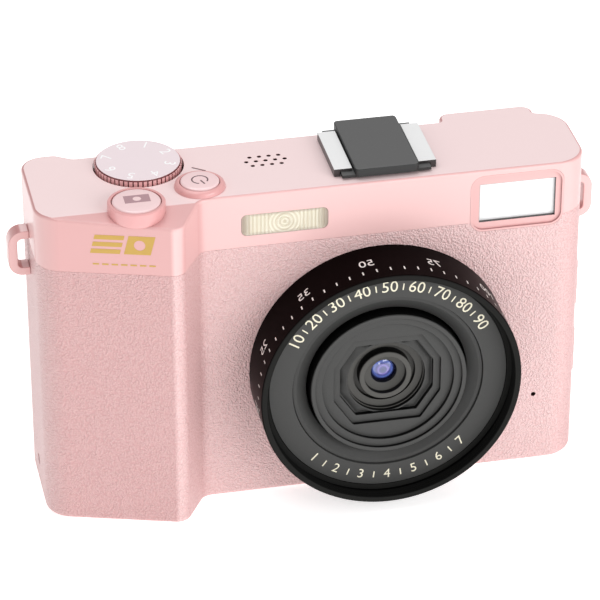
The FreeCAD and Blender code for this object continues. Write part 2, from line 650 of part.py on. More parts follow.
def build_glass():
    keep(dome("front_glass", "glass_dome_radius", "glass_seat_depth + glass_play", "glass_thickness",
              "glass_rise", "glass_radius"))
    keep(dome("middle_glass", "glass_radius", "middle_depth", "middle_thickness",
              "middle_rise"))
    keep(dome("rear_glass", "rear_radius", "rear_depth", "rear_thickness", "rear_rise"))
    keep(cut("rear_lens_holder",
             box("holder_block",
                 ("-holder_half", "-half_depth + holder_front", "lens_height - holder_half"),
                 ("holder_half", "holder_back", "lens_height + holder_half")),
             rod("holder_bore", "rear_radius + 0.02", "far", ("0", "2", "lens_height"), FORWARD)))
    for name, stem in (("filter_glass", "filter"), ("image_sensor", "sensor"),
                       ("sensor_board", "sensor_board")):
        keep(box(name,
                 ("-%s_half_width" % stem, stem + "_front", "lens_height - %s_half_height" % stem),
                 (stem + "_half_width", stem + "_back", "lens_height + %s_half_height" % stem)))


# --- viewfinder and fill light -------------------------------------------------------

def build_finder():
    outer = plate("finder_frame_blank",
                  rectangle("finder_left + finder_play", "finder_low + finder_play",
                            "finder_right - finder_play", "finder_high - finder_play",
                            "finder_round"),
                  "frame_thickness", ("0", "-half_depth + frame_thickness", "0"), FORWARD)
    dish = plate("finder_dish",
                 rectangle("finder_left + finder_frame_wall", "finder_low + finder_frame_wall",
                           "finder_right - finder_frame_wall", "finder_high - finder_frame_wall",
                           "finder_round - finder_frame_wall"),
                 "finder_depth + spare", ("0", "-half_depth + finder_depth", "0"), FORWARD)
    window = box("finder_opening", ("window_left", "-half_depth - spare", "window_low"),
                 ("window_right", "-half_depth + through", "window_high"))
    lap = "pane_lap + pane_play"
    seat = box("pane_seat",
               ("window_left - (%s)" % lap, "-half_depth + pane_depth", "window_low - (%s)" % lap),
               ("window_right + " + lap, "-half_depth + through", "window_high + " + lap))
    keep(cut("finder_frame", outer, dish, window, seat))
    keep(box("finder_window",
             ("window_left - pane_lap", "-half_depth + pane_depth", "window_low - pane_lap"),
             ("window_right + pane_lap", "-half_depth + frame_thickness", "window_high + pane_lap")))
    keep(cut("finder_tube",
             box("tube_block",
                 ("window_left - tube_wall", "-half_depth + frame_thickness + 0.05", "tube_low"),
                 ("window_right + tube_wall", "half_depth - tube_back",
                  "window_high + tube_wall")),
             box("tube_bore", ("window_left", "-half_depth", "tube_low + tube_wall"),
                 ("window_right", "half_depth + spare", "window_high"))))
    keep(box("finder_display",
             ("window_left + display_inset", "-half_depth + display_front",
              "tube_low + tube_wall + 0.1"),
             ("window_right - display_inset", "-half_depth + display_back", "window_high - 0.2")))
    keep(box("eyepiece_glass",
             ("eye_left + eye_glass_play", "housing_back - eye_glass_front",
              "eye_low + eye_glass_play"),
             ("eye_right - eye_glass_play", "housing_back - eye_glass_back",
              "eye_high - eye_glass_play")))
    rim = plate("eyecup_blank",
                rectangle("housing_left + eyecup_inset", "eyecup_low",
                          "housing_right - eyecup_inset", "eyecup_high", "eyecup_round"),
                "eyecup_rise", ("0", "housing_back + eyecup_rise", "0"), FORWARD)
    hole = plate("eyecup_hole",
                 rectangle("eye_left", "eye_low", "eye_right", "eye_high", "eyecup_hole_round"),
                 "through", ("0", "housing_back + through / 2", "0"), FORWARD)
    keep(cut("eyecup", rim, hole))


def build_light():
    keep(plate("light_window",
               rectangle("-light_left", "light_low", "-light_right", "light_high", "light_round"),
               "light_thickness", ("0", "-half_depth + light_thickness - light_play", "0"),
               FORWARD))


# --- controls on the top -------------------------------------------------------------

def build_dial():
    centre = ("-dial_x", "dial_y", "0")
    keep(turned("mode_dial", [
        ("0", "dial_base - dial_shaft_length"), ("dial_shaft", "dial_base - dial_shaft_length"),
        ("dial_shaft", "dial_base"), ("dial_radius", "dial_base"),
        ("dial_radius", "dial_top - dial_edge"), ("dial_radius - dial_bevel", "dial_top"),
        ("0", "dial_top"),
    ], centre))
    keep(turned("dial_switch", [
        ("0", "dial_switch_low"), ("dial_switch_radius", "dial_switch_low"),
        ("dial_switch_radius", "dial_base - dial_switch_play"),
        ("dial_shaft + shaft_play", "dial_base - dial_switch_play"),
        ("dial_shaft + shaft_play", "dial_base - dial_shaft_length - 0.1"),
        ("0", "dial_base - dial_shaft_length - 0.1"),
    ], centre))


def build_shutter(wedge):
    """The sleeve narrows to its foot, which is cut to lie on the grip's sloping top."""
    centre = ("-shutter_x", "-shutter_y", "0")
    foot = "body_height - collar_foot"
    seat = "body_height + button_play"
    collar = turned("collar_blank", [
        ("collar_bore", foot), ("collar_foot_radius", foot),
        ("collar_radius", "body_height + collar_edge"), ("collar_radius", "collar_top - collar_edge"),
        ("collar_radius - collar_edge", "collar_top"),
        ("shutter_radius + button_play", "collar_top"), ("shutter_radius + button_play", seat),
        ("collar_bore", seat),
    ], centre)
    under = cut("under_facet", slab("collar_zone", "-40", "0", "band_bottom", "body_height"), wedge)
    keep(cut("shutter_collar", collar, under))
    keep(turned("shutter_button", [
        ("0", "stem_foot"), ("shutter_stem", "stem_foot"),
        ("shutter_stem", "shutter_top - shutter_cap"), ("shutter_radius", "shutter_top - shutter_cap"),
        ("shutter_radius", "shutter_top - shutter_rim"),
        ("shutter_radius - shutter_bevel", "shutter_top - shutter_dish"),
        ("shutter_radius * 0.55", "shutter_top"), ("0", "shutter_top"),
    ], centre))
    keep(box("shutter_switch",
             ("-shutter_x - switch_half", "-shutter_y - shutter_switch_front",
              "shutter_switch_low"),
             ("-shutter_x + switch_half", "-shutter_y + switch_half",
              "stem_foot - shutter_travel - button_play")))


def build_power():
    centre = ("-power_x", "-power_y", "0")
    keep(turned("power_collar", [
        ("power_radius + button_play", "body_height"), ("power_collar_radius", "body_height"),
        ("power_collar_radius - power_collar_slope", "power_collar_top - power_collar_side"),
        ("power_collar_radius - power_collar_crown", "power_collar_top"),
        ("power_radius + button_play", "power_collar_top"),
    ], centre))
    keep(turned("power_button", [
        ("0", "power_foot"), ("power_stem", "power_foot"), ("power_stem", "power_top - power_cap"),
        ("power_radius", "power_top - power_cap"), ("power_radius", "power_top - power_rim"),
        ("power_radius - power_bevel", "power_top - power_dome"),
        ("power_radius * 0.5", "power_top"), ("0", "power_top"),
    ], centre))
    keep(box("power_switch",
             ("-power_x - switch_half", "-power_y - switch_half", "power_switch_low"),
             ("-power_x + switch_half", "-power_y + switch_half",
              "power_foot - power_travel - button_play")))


def build_shoe():
    top = "body_height"
    slot_top = top + " + shoe_rise - shoe_lip"
    rail = box("rail_block", ("shoe_x - shoe_half", "-shoe_front", top),
               ("shoe_x + shoe_half", "shoe_back", top + " + shoe_rise"))
    slot = box("rail_slot",
               ("shoe_x - shoe_slot_half", "-shoe_front - spare", top + " + shoe_base"),
               ("shoe_x + shoe_slot_half", "shoe_back + spare", slot_top))
    mouth = box("rail_mouth",
                ("shoe_x - shoe_mouth_half", "-shoe_front - spare", top + " + shoe_base"),
                ("shoe_x + shoe_mouth_half", "shoe_back + spare", top + " + through"))
    keep(cut("shoe_rails", rail, slot, mouth))
    keep(box("shoe_floor",
             ("shoe_x - floor_half", "-shoe_front + floor_inset", top + " - floor_thickness"),
             ("shoe_x + floor_half", "shoe_back - floor_inset", top)))
    tongue = box("cover_tongue",
                 ("shoe_x - shoe_slot_half + cover_side_play", "-cover_front",
                  top + " + shoe_base + cover_low_play"),
                 ("shoe_x + shoe_slot_half - cover_side_play", "cover_back - cover_tail",
                  slot_top + " - cover_high_play"))
    cap = plate("cover_cap",
                rectangle("shoe_x - cover_half", "-cover_front - cover_lap",
                          "shoe_x + cover_half", "cover_back", "cover_round"),
                "cover_rise - cover_cap_low", ("0", "0", top + " + cover_cap_low"),
                rim="cover_edge")
    keep(fuse("shoe_cover", tongue, cap))


def build_sound():
    keep(rod("loudspeaker", "speaker_radius", "speaker_depth",
             ("-speaker_x", "speaker_y", "body_height - top_wall - speaker_depth - speaker_play")))
    keep(rod("microphone", "mic_body", "mic_length",
             ("mic_x", "-half_depth + wall + mic_length + mic_play", "mic_height"), FORWARD))


# --- back ----------------------------------------------------------------------------

def rear_button(name, radius, x, z):
    """A round button in the back, its face slightly domed."""
    top = "button_foot + button_rise"
    return turned(name, [
        ("0", "0"), (radius, "0"), (radius, top + " - button_bevel"),
        ("(%s) - button_bevel" % radius, top + " - button_dome"), ("0", top),
    ], (x, "half_depth - button_foot", z), BACK)


def build_back():
    keep(box("screen_module",
             ("-screen_left + module_left", "half_depth - module_front",
              "screen_low + module_low"),
             ("screen_right - module_right", "half_depth - module_back",
              "screen_high - module_high")))
    keep(plate("screen_window",
               rectangle("-screen_left", "screen_low", "screen_right", "screen_high",
                         "screen_round"),
               "screen_thickness", ("0", "half_depth + screen_proud", "0"), FORWARD,
               rim_low="button_bevel"))
    for name, x, z in ROUND_BUTTONS:
        keep(rear_button(name, "button_radius", x, z))
    top = "button_foot + button_rise"
    keep(turned("direction_pad", [
        ("pad_hole", "0"), ("pad_radius", "0"), ("pad_radius", top + " - button_bevel"),
        ("pad_radius - button_bevel", top), ("pad_hole + pad_dish", top + " - pad_slope"),
        ("pad_hole", top + " - pad_lip"),
    ], ("-button_column", "half_depth - button_foot", "pad_height"), BACK))
    keep(rear_button("ok_button", "pad_hole - button_gap", "-button_column", "pad_height"))
    keep(plate("zoom_rocker",
               rectangle("-button_column - rocker_half", "rocker_low",
                         "-button_column + rocker_half", "rocker_high", "rocker_round"),
               top, ("0", "half_depth + button_rise", "0"), FORWARD, rim_low="button_bevel"))
    keep(cut("button_board",
             box("board_block", ("-board_left", "board_front", "board_low"),
                 ("-board_right", "board_back", "board_high")),
             box("board_notch", ("-notch_left", "board_front - spare", "board_low - spare"),
                 ("-board_right + spare", "board_back + spare", "notch_high"))))


# --- base and sides ------------------------------------------------------------------

def build_base():
    roof = "socket_length + nut_roof"
    keep(turned("tripod_nut", [
        ("socket_radius", "0"), ("nut_neck", "0"), ("nut_neck", "nut_neck_height"),
        ("nut_flange", "nut_neck_height"), ("nut_flange", roof), ("0", roof),
        ("0", "socket_length"), ("socket_radius", "socket_length"),
    ], ("0", "0", "0")))
    build_battery_door()
    keep(box("battery", ("-battery_left", "-battery_front", "battery_low"),
             ("-battery_right", "battery_back", "battery_high")))
    keep(box("card_socket", ("-card_socket_left", "card_socket_front", "card_socket_low"),
             ("-card_right", "card_socket_back", "card_socket_high")))
    keep(box("memory_card", ("-card_left", "card_front", "card_low"),
             ("-card_right", "card_back", "card_high")))
    keep(box("main_board", ("-main_left", "main_front", "main_low"),
             ("main_right", "main_back", "main_high")))
    keep(fuse("case_screws", *screws("screw", screw_profile("0"))))


def build_battery_door():
    """A flat door with a knuckle on a steel pin, and the latch that slides in it."""
    pin_x = "-door_left + door_thickness / 2"
    pin_z = "door_thickness / 2"
    door = plate("door_plate", rectangle(pin_x, "-door_front", "-door_right", "door_back"),
                 "door_thickness", ("0", "0", "0"))
    knuckle = rod("door_knuckle", "door_thickness / 2", "door_front + door_back - 2 * knuckle_gap",
                  (pin_x, "-door_front + knuckle_gap", pin_z), BACK)
    bore = rod("door_bore", "pin_radius + pin_play", "2 * far", (pin_x, "-far", pin_z), BACK)
    slide_gap = box("latch_gap",
                    ("-door_right - latch_far - latch_play", "-latch_front - latch_play",
                     "-latch_play"),
                    ("-door_right - latch_stop", "latch_back + latch_play", "latch_roof"))
    keep(cut("battery_door", fuse("door_joined", door, knuckle), bore, slide_gap))
    keep(box("door_latch", ("-door_right - latch_far", "-latch_front", "latch_low"),
             ("-door_right - latch_near", "latch_back", "latch_high")))
    keep(rod("door_pin", "pin_radius", "door_front + door_back + 2 * pin_end",
             (pin_x, "-door_front - pin_end", pin_z), BACK))


def build_sides():
    for name, sign, side in (("left_lug", "-1", "left_side"), ("right_lug", "1", "right_side")):
        build_lug(name, sign, side)
    build_port_cover()
    for name in ("usb", "video"):
        low, high = name + "_low", name + "_high"
        block = box(name + "_block",
                    ("right_side - %s_depth" % name, "-port_mouth_front + socket_play",
                     low + " + socket_play"),
                    ("right_side - wall", "port_mouth_back - socket_play", high + " - socket_play"))
        mouth = box(name + "_mouth",
                    ("right_side - mouth_depth", "-port_mouth_front + socket_wall",
                     low + " + socket_wall"),
                    ("right_side", "port_mouth_back - socket_wall", high + " - socket_wall"))
        keep(cut(name + "_socket", block, mouth))


def build_port_cover():
    """A thin door whose rear edge is rounded about the line it turns on."""
    hinge_y = "port_back - port_thickness / 2"
    door = plate("port_door",
                 [("-port_front", "port_low", "port_round"), (hinge_y, "port_low"),
                  (hinge_y, "port_high"), ("-port_front", "port_high", "port_round")],
                 "port_thickness", ("right_side - port_thickness", "0", "0"), RIGHT)
    edge = rod("port_edge", "port_thickness / 2", "port_high - port_low",
               ("right_side - port_thickness / 2", hinge_y, "port_low"))
    notch = box("port_thumb_notch",
                ("right_side - thumb_notch_depth", "-port_front - spare",
                 "port_low + thumb_notch_inset"),
                ("right_side + spare", "-port_front + thumb_notch_width",
                 "port_high - thumb_notch_inset"))
    keep(cut("port_cover", fuse("port_joined", door, edge), notch))


def build_lug(name, sign, side):
    """A rigid strap loop with a slot through it, on the side wall."""
    wall_x = "%s * %s" % (sign, side)
    low = "lug_height - lug_rise / 2"
    high = "lug_height + lug_rise / 2"
    outer = "%s + %s * lug_reach" % (wall_x, sign)
    inner = "%s + %s * (lug_reach - lug_band)" % (wall_x, sign)
    ring = plate(name + "_blank",
                 [(wall_x, low), (outer, low, "lug_round"), (outer, high, "lug_round"),
                  (wall_x, high)],
                 "lug_depth", ("0", "lug_middle + lug_depth / 2", "0"), FORWARD)
    slot = plate(name + "_slot",
                 [(wall_x, low + " + lug_bar"), (inner, low + " + lug_bar", "lug_slot_round"),
                  (inner, high + " - lug_bar", "lug_slot_round"), (wall_x, high + " - lug_bar")],
                 "lug_depth + 2 * spare", ("0", "lug_middle + lug_depth / 2 + spare", "0"), FORWARD)
    keep(cut(name, ring, slot))


def build_document():
    wedge = build_shells()
    build_lens()
    build_finder()
    build_light()
    build_dial()
    build_shutter(wedge)
    build_power()
    build_shoe()
    build_sound()
    build_back()
    build_base()
    build_sides()
    doc.recompute()


def check_document():
    """Stops on any object that failed and on any piece that is empty or invalid."""
    for item in doc.Objects:
        if "Invalid" in item.State or "Error" in item.State:
            raise RuntimeError("%s: %s" % (item.Name, item.State))
    for item in NODES:
        if item.Shape.isNull() or not item.Shape.isValid() or item.Shape.Volume < 0.1:
            raise RuntimeError("%s has no valid solid" % item.Label)
        if len(item.Shape.Solids) != 1:
            print("note: %s has %d solids" % (item.Label, len(item.Shape.Solids)))


build_document()
check_document()
os.makedirs("parts", exist_ok=True)
for item in NODES:
    item.Shape.exportStep("parts/%s.step" % item.Label)
print("%d pieces written" % len(NODES))
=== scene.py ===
import math

import bmesh
import bpy
from mathutils import Matrix, Vector


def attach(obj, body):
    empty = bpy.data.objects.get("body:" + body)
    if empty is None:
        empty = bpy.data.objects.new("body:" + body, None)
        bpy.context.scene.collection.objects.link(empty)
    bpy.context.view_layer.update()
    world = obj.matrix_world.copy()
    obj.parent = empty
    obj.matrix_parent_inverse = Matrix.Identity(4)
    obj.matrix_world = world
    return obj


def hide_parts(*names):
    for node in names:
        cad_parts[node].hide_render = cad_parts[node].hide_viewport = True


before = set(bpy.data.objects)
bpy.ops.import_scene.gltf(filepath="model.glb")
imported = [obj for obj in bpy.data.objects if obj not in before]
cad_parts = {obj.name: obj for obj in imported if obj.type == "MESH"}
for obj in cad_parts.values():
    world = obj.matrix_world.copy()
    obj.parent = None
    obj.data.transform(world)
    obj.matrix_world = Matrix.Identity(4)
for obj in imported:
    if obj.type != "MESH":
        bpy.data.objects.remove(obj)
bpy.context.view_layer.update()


# --- Front and rear shells -----------------------------------------------------------
# Two moulded plastic shells that meet in a fine seam round the sides and are screwed
# together. Their outside is textured in the mould with a fine leather-like grain.

MM = 0.001
SHELL_PINK = (230, 188, 187)
SHELL_PALE = (243, 211, 210)
# Painted shade for the inside of the microphone and loudspeaker holes.
HOLE_SHADE = (62, 34, 34)
GRAIN_PITCH = 0.42 * MM
GRAIN_HEIGHT = 0.2 * MM
SOUND_HOLE = Vector((33.83, 0, 16.6)) * MM
SOUND_HOLE_RADIUS = 0.52 * MM
FRONT_FACE_Y = -11.2 * MM


class Wire:
    """A socket in a node tree. Arithmetic on it adds Math nodes to the tree."""

    def __init__(self, tree, socket=None):
        self.tree = tree
        self.socket = socket

    def node(self, kind, settings=None, inputs=None, output=0):
        """Adds a node, applies its settings, feeds its sockets, gives back one output."""
        made = self.tree.nodes.new(kind)
        settings = dict(settings or {})
        stops = settings.pop("stops", None)
        for key, value in settings.items():
            setattr(made, key, value)
        if stops:
            ramp = made.color_ramp.elements
            for index, (position, colour) in enumerate(stops):
                stop = ramp[index] if index < len(ramp) else ramp.new(position)
                stop.position = position
                stop.color = colour
        for key, value in (inputs or {}).items():
            if isinstance(value, Wire):
                self.tree.links.new(value.socket, made.inputs[key])
            else:
                made.inputs[key].default_value = value
        return Wire(self.tree, made.outputs[output])

    def maths(self, operation, *values):
        return self.node("ShaderNodeMath", {"operation": operation}, dict(enumerate(values)))

    def __add__(self, other):
        return self.maths("ADD", self, other)

    def __radd__(self, other):
        return self.maths("ADD", other, self)

    def __sub__(self, other):
        return self.maths("SUBTRACT", self, other)

    def __rsub__(self, other):
        return self.maths("SUBTRACT", other, self)

    def __mul__(self, other):
        return self.maths("MULTIPLY", self, other)

    def __rmul__(self, other):
        return self.maths("MULTIPLY", other, self)

    def __pow__(self, other):
        return self.maths("POWER", self, other)

    def __gt__(self, other):
        return self.maths("GREATER_THAN", self, other)

    def __lt__(self, other):
        return self.maths("LESS_THAN", self, other)

    def __abs__(self):
        return self.maths("ABSOLUTE", self)


def tint(red, green, blue):
    """A display colour, 0 to 255 each, as a linear shader colour."""
    return tuple(((level / 255 + 0.055) / 1.055) ** 2.4 if level > 10 else level / 3295
                 for level in (red, green, blue)) + (1.0,)


def spot(wire):
    """The x, y and z of the point being shaded, in the piece's own coordinates."""
    point = wire.node("ShaderNodeTexCoord", output="Object")
    return [wire.node("ShaderNodeSeparateXYZ", inputs={0: point}, output=axis)
            for axis in "XYZ"]


def facing(wire, axis):
    """How far the surface being shaded faces along one axis, from -1 to 1."""
    normal = wire.node("ShaderNodeTexCoord", output="Normal")
    return wire.node("ShaderNodeSeparateXYZ", inputs={0: normal}, output=axis)


def eased_step(wire, value, low, high):
    """0 below low, 1 above high, and a straight slope between."""
    return wire.node("ShaderNodeMapRange", inputs={0: value, 1: low, 2: high})


def blended(wire, mask, first, second):
    """One colour over another where the mask is 1."""
    return wire.node("ShaderNodeMix", {"data_type": "RGBA"}, {0: mask, 6: first, 7: second}, 2)


def speckle(wire, pitch, detail=2.0):
    """Soft noise about 0.5 with blotches of roughly the given size."""
    point = wire.node("ShaderNodeTexCoord", output="Object")
    return wire.node("ShaderNodeTexNoise", inputs={"Vector": point, "Scale": 1 / pitch,
                                                   "Detail": detail}, output="Fac")


def finish(name, colour, roughness, pitch=0.4 * MM, vary=0.05, bump=0.0, fixed=None):
    """A moulded, painted or turned finish whose tone and gloss waver slightly.

    Gives the material, its wiring and its surface, for pieces that add more."""
    material = bpy.data.materials.new(name)
    material.use_nodes = True
    surface = material.node_tree.nodes["Principled BSDF"]
    wire = Wire(material.node_tree)
    noise = speckle(wire, pitch)
    darker = tuple(level * (1 - vary) for level in colour[:3]) + (1.0,)
    lighter = tuple(min(level * (1 + vary), 1.0) for level in colour[:3]) + (1.0,)
    feed(surface, "Base Color", blended(wire, noise, darker, lighter))
    feed(surface, "Roughness", roughness + (noise - 0.5) * 0.08)
    if bump:
        feed(surface, "Normal", raised(wire, noise, bump))
    for key, value in (fixed or {}).items():
        surface.inputs[key].default_value = value
    return material, wire, surface


def coat(weight, roughness):
    """The sockets of a clear coat over a finish."""
    return {"Coat Weight": weight, "Coat Roughness": roughness}


def feed(surface, key, wire):
    surface.inputs[key].id_data.links.new(wire.socket, surface.inputs[key])


def raised(wire, height, reach):
    """A bump of the given reach in metres."""
    return wire.node("ShaderNodeBump", inputs={"Height": height, "Distance": reach},
                     output="Normal")


def linked(name, data):
    """A new object in the scene."""
    piece = bpy.data.objects.new(name, data)
    bpy.context.scene.collection.objects.link(piece)
    return piece


def finished(shape, name, crease=38):
    """Turns a worked shape into a linked object, smooth except at its creases."""
    for face in shape.faces:
        face.smooth = True
    for edge in shape.edges:
        edge.smooth = edge.calc_face_angle(0.0) < math.radians(crease)
    mesh = bpy.data.meshes.new(name)
    shape.to_mesh(mesh)
    shape.free()
    piece = linked(name.replace(" ", "-"), mesh)
    piece.modifiers.new("even shading", "WEIGHTED_NORMAL").keep_sharp = True
    return piece


def refined(node, name, ease, sharp):
    """The frame's own shape with whole faces again and its sharp corners eased."""
    shape = bmesh.new()
    shape.from_mesh(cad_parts[node].data)
    bmesh.ops.remove_doubles(shape, verts=shape.verts, dist=0.001 * MM)
    bmesh.ops.dissolve_limit(shape, angle_limit=math.radians(0.4), verts=shape.verts,
                             edges=shape.edges)
    if ease:
        corners = [edge for edge in shape.edges
                   if edge.calc_face_angle(0.0) > math.radians(sharp)]
        bmesh.ops.bevel(shape, geom=corners, offset=ease, segments=2, profile=0.5,
                        affect="EDGES", clamp_overlap=True)
    return finished(shape, name)


def coated(piece, material):
    piece.data.materials.clear()
    piece.data.materials.append(material)


# Painted shade: how much the pink is deepened on faces turned each way, from left (-1) to right
# (1).
SIDE_SHADE_TONES = [(-1, 0.81, 0.79), (-0.3, 0.77, 0.67), (-0.1, 0.93, 0.89), (0, 1, 1),
              (0.4, 0.97, 0.93), (0.8, 0.86, 0.76), (1, 0.93, 0.9)]


def fitted(piece, material, body, node):
    """Coats a piece and says its body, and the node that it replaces."""
    coated(piece, material)
    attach(piece, body)
    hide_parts(node)


def recut(node, name, material, body, ease=0.0, sharp=50):
    """Puts the refined shape of a node in its place."""
    fitted(refined(node, name, ease, sharp), material, body, node)


def painted_side_shade(wire, tone):
    """Painted shade: the pink a little deeper on faces turned to the left or into the grip's
    hollow.
    """
    sideways = facing(wire, "X") * 0.5 + 0.5
    stops = [((turn + 1) / 2, (red, other, other, 1)) for turn, red, other in SIDE_SHADE_TONES]
    shift = wire.node("ShaderNodeValToRGB", {"stops": stops}, {0: sideways})
    return wire.node("ShaderNodeMix", {"data_type": "RGBA", "blend_type": "MULTIPLY"},
                     {0: 1.0, 6: tone, 7: shift}, 2)


grained_pink, wire, surface = finish("grained pink shell", tint(*SHELL_PINK), 0.46,
                                     fixed={"Specular IOR Level": 0.6, "Coat Weight": 0.1,
                                            "Coat Roughness": 0.35})
point = wire.node("ShaderNodeTexCoord", output="Object")
warp = wire.node("ShaderNodeTexNoise", inputs={"Vector": point, "Scale": 0.7 / GRAIN_PITCH},
                 output="Color")
wander = wire.node("ShaderNodeVectorMath", {"operation": "SCALE"},
                   {0: warp, "Scale": 0.9 * GRAIN_PITCH})
bent = wire.node("ShaderNodeVectorMath", {"operation": "ADD"}, {0: point, 1: wander})
pebble = wire.node("ShaderNodeTexVoronoi", {"feature": "SMOOTH_F1"},
                   {"Vector": bent, "Scale": 1 / GRAIN_PITCH, "Smoothness": 0.5}, "Distance")
valley = wire.node("ShaderNodeValToRGB",
                   {"stops": [(0.1, (0, 0, 0, 1)), (0.75, (1, 1, 1, 1))]}, {0: pebble})
x, y, z = spot(wire)
# Painted shade: inside the microphone's hole the shell is painted a dark brown.
off_hole = (x - SOUND_HOLE.x) ** 2 + (z - SOUND_HOLE.z) ** 2
in_hole_shade = (off_hole < SOUND_HOLE_RADIUS ** 2) * (y > FRONT_FACE_Y)
# The grain's pale tops and pink valleys, with painted shade deepening faces turned left or into the
# grip.
grain = painted_side_shade(wire, blended(wire, valley, tint(*SHELL_PALE), tint(*SHELL_PINK)))
feed(surface, "Base Color", blended(wire, in_hole_shade, grain, tint(*HOLE_SHADE)))
feed(surface, "Normal", raised(wire, 1 - valley, GRAIN_HEIGHT))

for node, name in (("front_shell", "front shell"), ("rear_shell", "rear shell")):
    recut(node, name, grained_pink, "camera", 0.02 * MM)


# --- Top cover -----------------------------------------------------------------------
# The smooth band round the top, one moulding, painted a satin pink. The dial's well,
# the loudspeaker holes, the shoe's opening and the light's opening are moulded in it.

BAND_PINK = (242, 197, 195)
# Painted light and shade: a paler pink for faces turned straight up, a deeper one for sloping
# faces.
TOP_LIT_PALE = (246, 221, 221)
FACET_SHADE_PINK = (220, 168, 167)
SPEAKER = Vector((-21.07, 2.35)) * MM
SPEAKER_HALF = Vector((4.8, 2.6)) * MM
TOP_FACE = 72 * MM

satin_pink, wire, surface = finish("satin pink band", tint(*BAND_PINK), 0.34, 1.5 * MM, 0.015,
                                   fixed=coat(0.35, 0.18))
# Painted light and shade: faces that slope up are painted a deeper pink, and faces turned straight
# up a paler one.
upward = facing(wire, "Z")
slope = eased_step(wire, upward, 0.55, 0.95)
lit_flat_top = eased_step(wire, upward, 0.989, 0.9975)
slope_shaded = blended(wire, slope, tint(*BAND_PINK), tint(*FACET_SHADE_PINK))
feed(surface, "Base Color", painted_side_shade(wire, blended(wire, lit_flat_top, slope_shaded, tint(*TOP_LIT_PALE))))
cover_pink = satin_pink.copy()
cover_pink.name = "satin pink cover"
wire = Wire(cover_pink.node_tree)
surface = cover_pink.node_tree.nodes["Principled BSDF"]
paint = Wire(wire.tree, surface.inputs["Base Color"].links[0].from_socket)
x, y, z = spot(wire)
# Painted shade: inside the loudspeaker holes, below the top face, the cover is painted a dark
# brown.
near = (abs(x - SPEAKER.x) < SPEAKER_HALF.x) * (abs(y - SPEAKER.y) < SPEAKER_HALF.y)
in_holes_shade = near * (z < TOP_FACE - 0.06 * MM)
feed(surface, "Base Color", blended(wire, in_holes_shade, paint, tint(*HOLE_SHADE)))

recut("top_cover", "top cover", cover_pink, "camera", 0.02 * MM)


# --- Lens barrel ---------------------------------------------------------------------
# A turned aluminium barrel, gloss black outside, satin grey on its rim and inside, with
# a filter thread cut in the rim. White figures are printed on its side.

FORWARD = (0, -1, 0)
UP = (0, 0, 1)
LENS_FRONT = Vector((0, -11.25, 29.7)) * MM
BARREL_LENGTH = 12.7
BARREL_RADIUS = 27.45
RING_DEPTH = 3.55
THREAD_CREST = 26.0
THREAD_ROOT = 26.32
THREAD_PITCH = 0.72


def circle(radius, count=144):
    return [(radius * MM * math.cos(math.tau * i / count),
             radius * MM * math.sin(math.tau * i / count)) for i in range(count)]


def eased(profile, ease=0.08, steps=2):
    """A closed profile with each corner off the axis replaced by a small curve."""
    softened = []
    for index, here in enumerate(profile):
        before = Vector(profile[index - 1])
        after = Vector(profile[(index + 1) % len(profile)])
        here = Vector(here)
        if here.x < 1e-6:
            softened.append(tuple(here))
            continue
        back = before - here
        on = after - here
        start = here + back.normalized() * min(ease, back.length * 0.4)
        end = here + on.normalized() * min(ease, on.length * 0.4)
        for step in range(steps + 1):
            share = step / steps
            softened.append(tuple(start.lerp(here, share).lerp(here.lerp(end, share), share)))
    return softened


def lofted(name, rings, middle, forward):
    """A closed shell through rings of matching points, each joined to the next."""
    shape = bmesh.new()
    turn = Vector(forward).to_track_quat("Z", "Y").to_matrix().to_4x4()
    place = Matrix.Translation(middle) @ turn
    grid = [[shape.verts.new(place @ Vector((x, y, height))) for x, y in outline]
            for outline, height in rings]
    for near, far in zip(grid, grid[1:] + grid[:1]):
        for i in range(len(near)):
            j = (i + 1) % len(near)
            shape.faces.new((near[i], near[j], far[j], far[i]))
    bmesh.ops.remove_doubles(shape, verts=shape.verts, dist=0.0005 * MM)
    bmesh.ops.recalc_face_normals(shape, faces=shape.faces)
    return finished(shape, name)


def turned(name, profile, middle, forward, ease=0.08, count=144):
    """A solid turned about an axis from a closed run of (radius, height) in millimetres."""
    rings = [(circle(radius, count), height * MM) for radius, height in eased(profile, ease)]
    return lofted(name, rings, middle, forward)


def behind_rim(points):
    """Profile points given as (radius, depth behind the lens rim)."""
    return [(radius, BARREL_LENGTH - depth) for radius, depth in points]


thread = []
for ridge in range(3):
    depth = 2.45 - ridge * THREAD_PITCH
    thread += [(THREAD_CREST, depth), (THREAD_ROOT, depth - THREAD_PITCH / 2)]
barrel = turned("lens barrel", behind_rim(
    [(27.2, 0), (BARREL_RADIUS, 0.25), (BARREL_RADIUS, BARREL_LENGTH), (24.5, BARREL_LENGTH),
     (24.5, 15.1), (23, 15.1), (23, 4.95), (25.2, 4.95), (25.2, RING_DEPTH),
     (26.35, RING_DEPTH), (26.35, 2.6)] + thread + [(THREAD_CREST, 0.28), (26.2, 0)]),
    LENS_FRONT, FORWARD, 0.06, 180)

gloss_black, wire, surface = finish("gloss black barrel", tint(24, 12, 12), 0.2, 2 * MM, 0.1,
                                    fixed={"IOR": 1.06})
x, y, z = spot(wire)
rise = z - LENS_FRONT.z
radius = (x * x + rise * rise) ** 0.5
outside = radius > (BARREL_RADIUS - 0.1) * MM
# Painted shade: inside the barrel, walls along the axis are painted near black and faces across it
# grey.
ahead = abs(facing(wire, "Y"))
inside_shaded = blended(wire, ahead * ahead, tint(8, 8, 8), tint(38, 38, 37))
feed(surface, "Base Color", blended(wire, outside, inside_shaded, tint(12, 5, 5)))
feed(surface, "Roughness", 0.5 - outside * 0.22)
fitted(barrel, gloss_black, "camera", "lens_barrel")


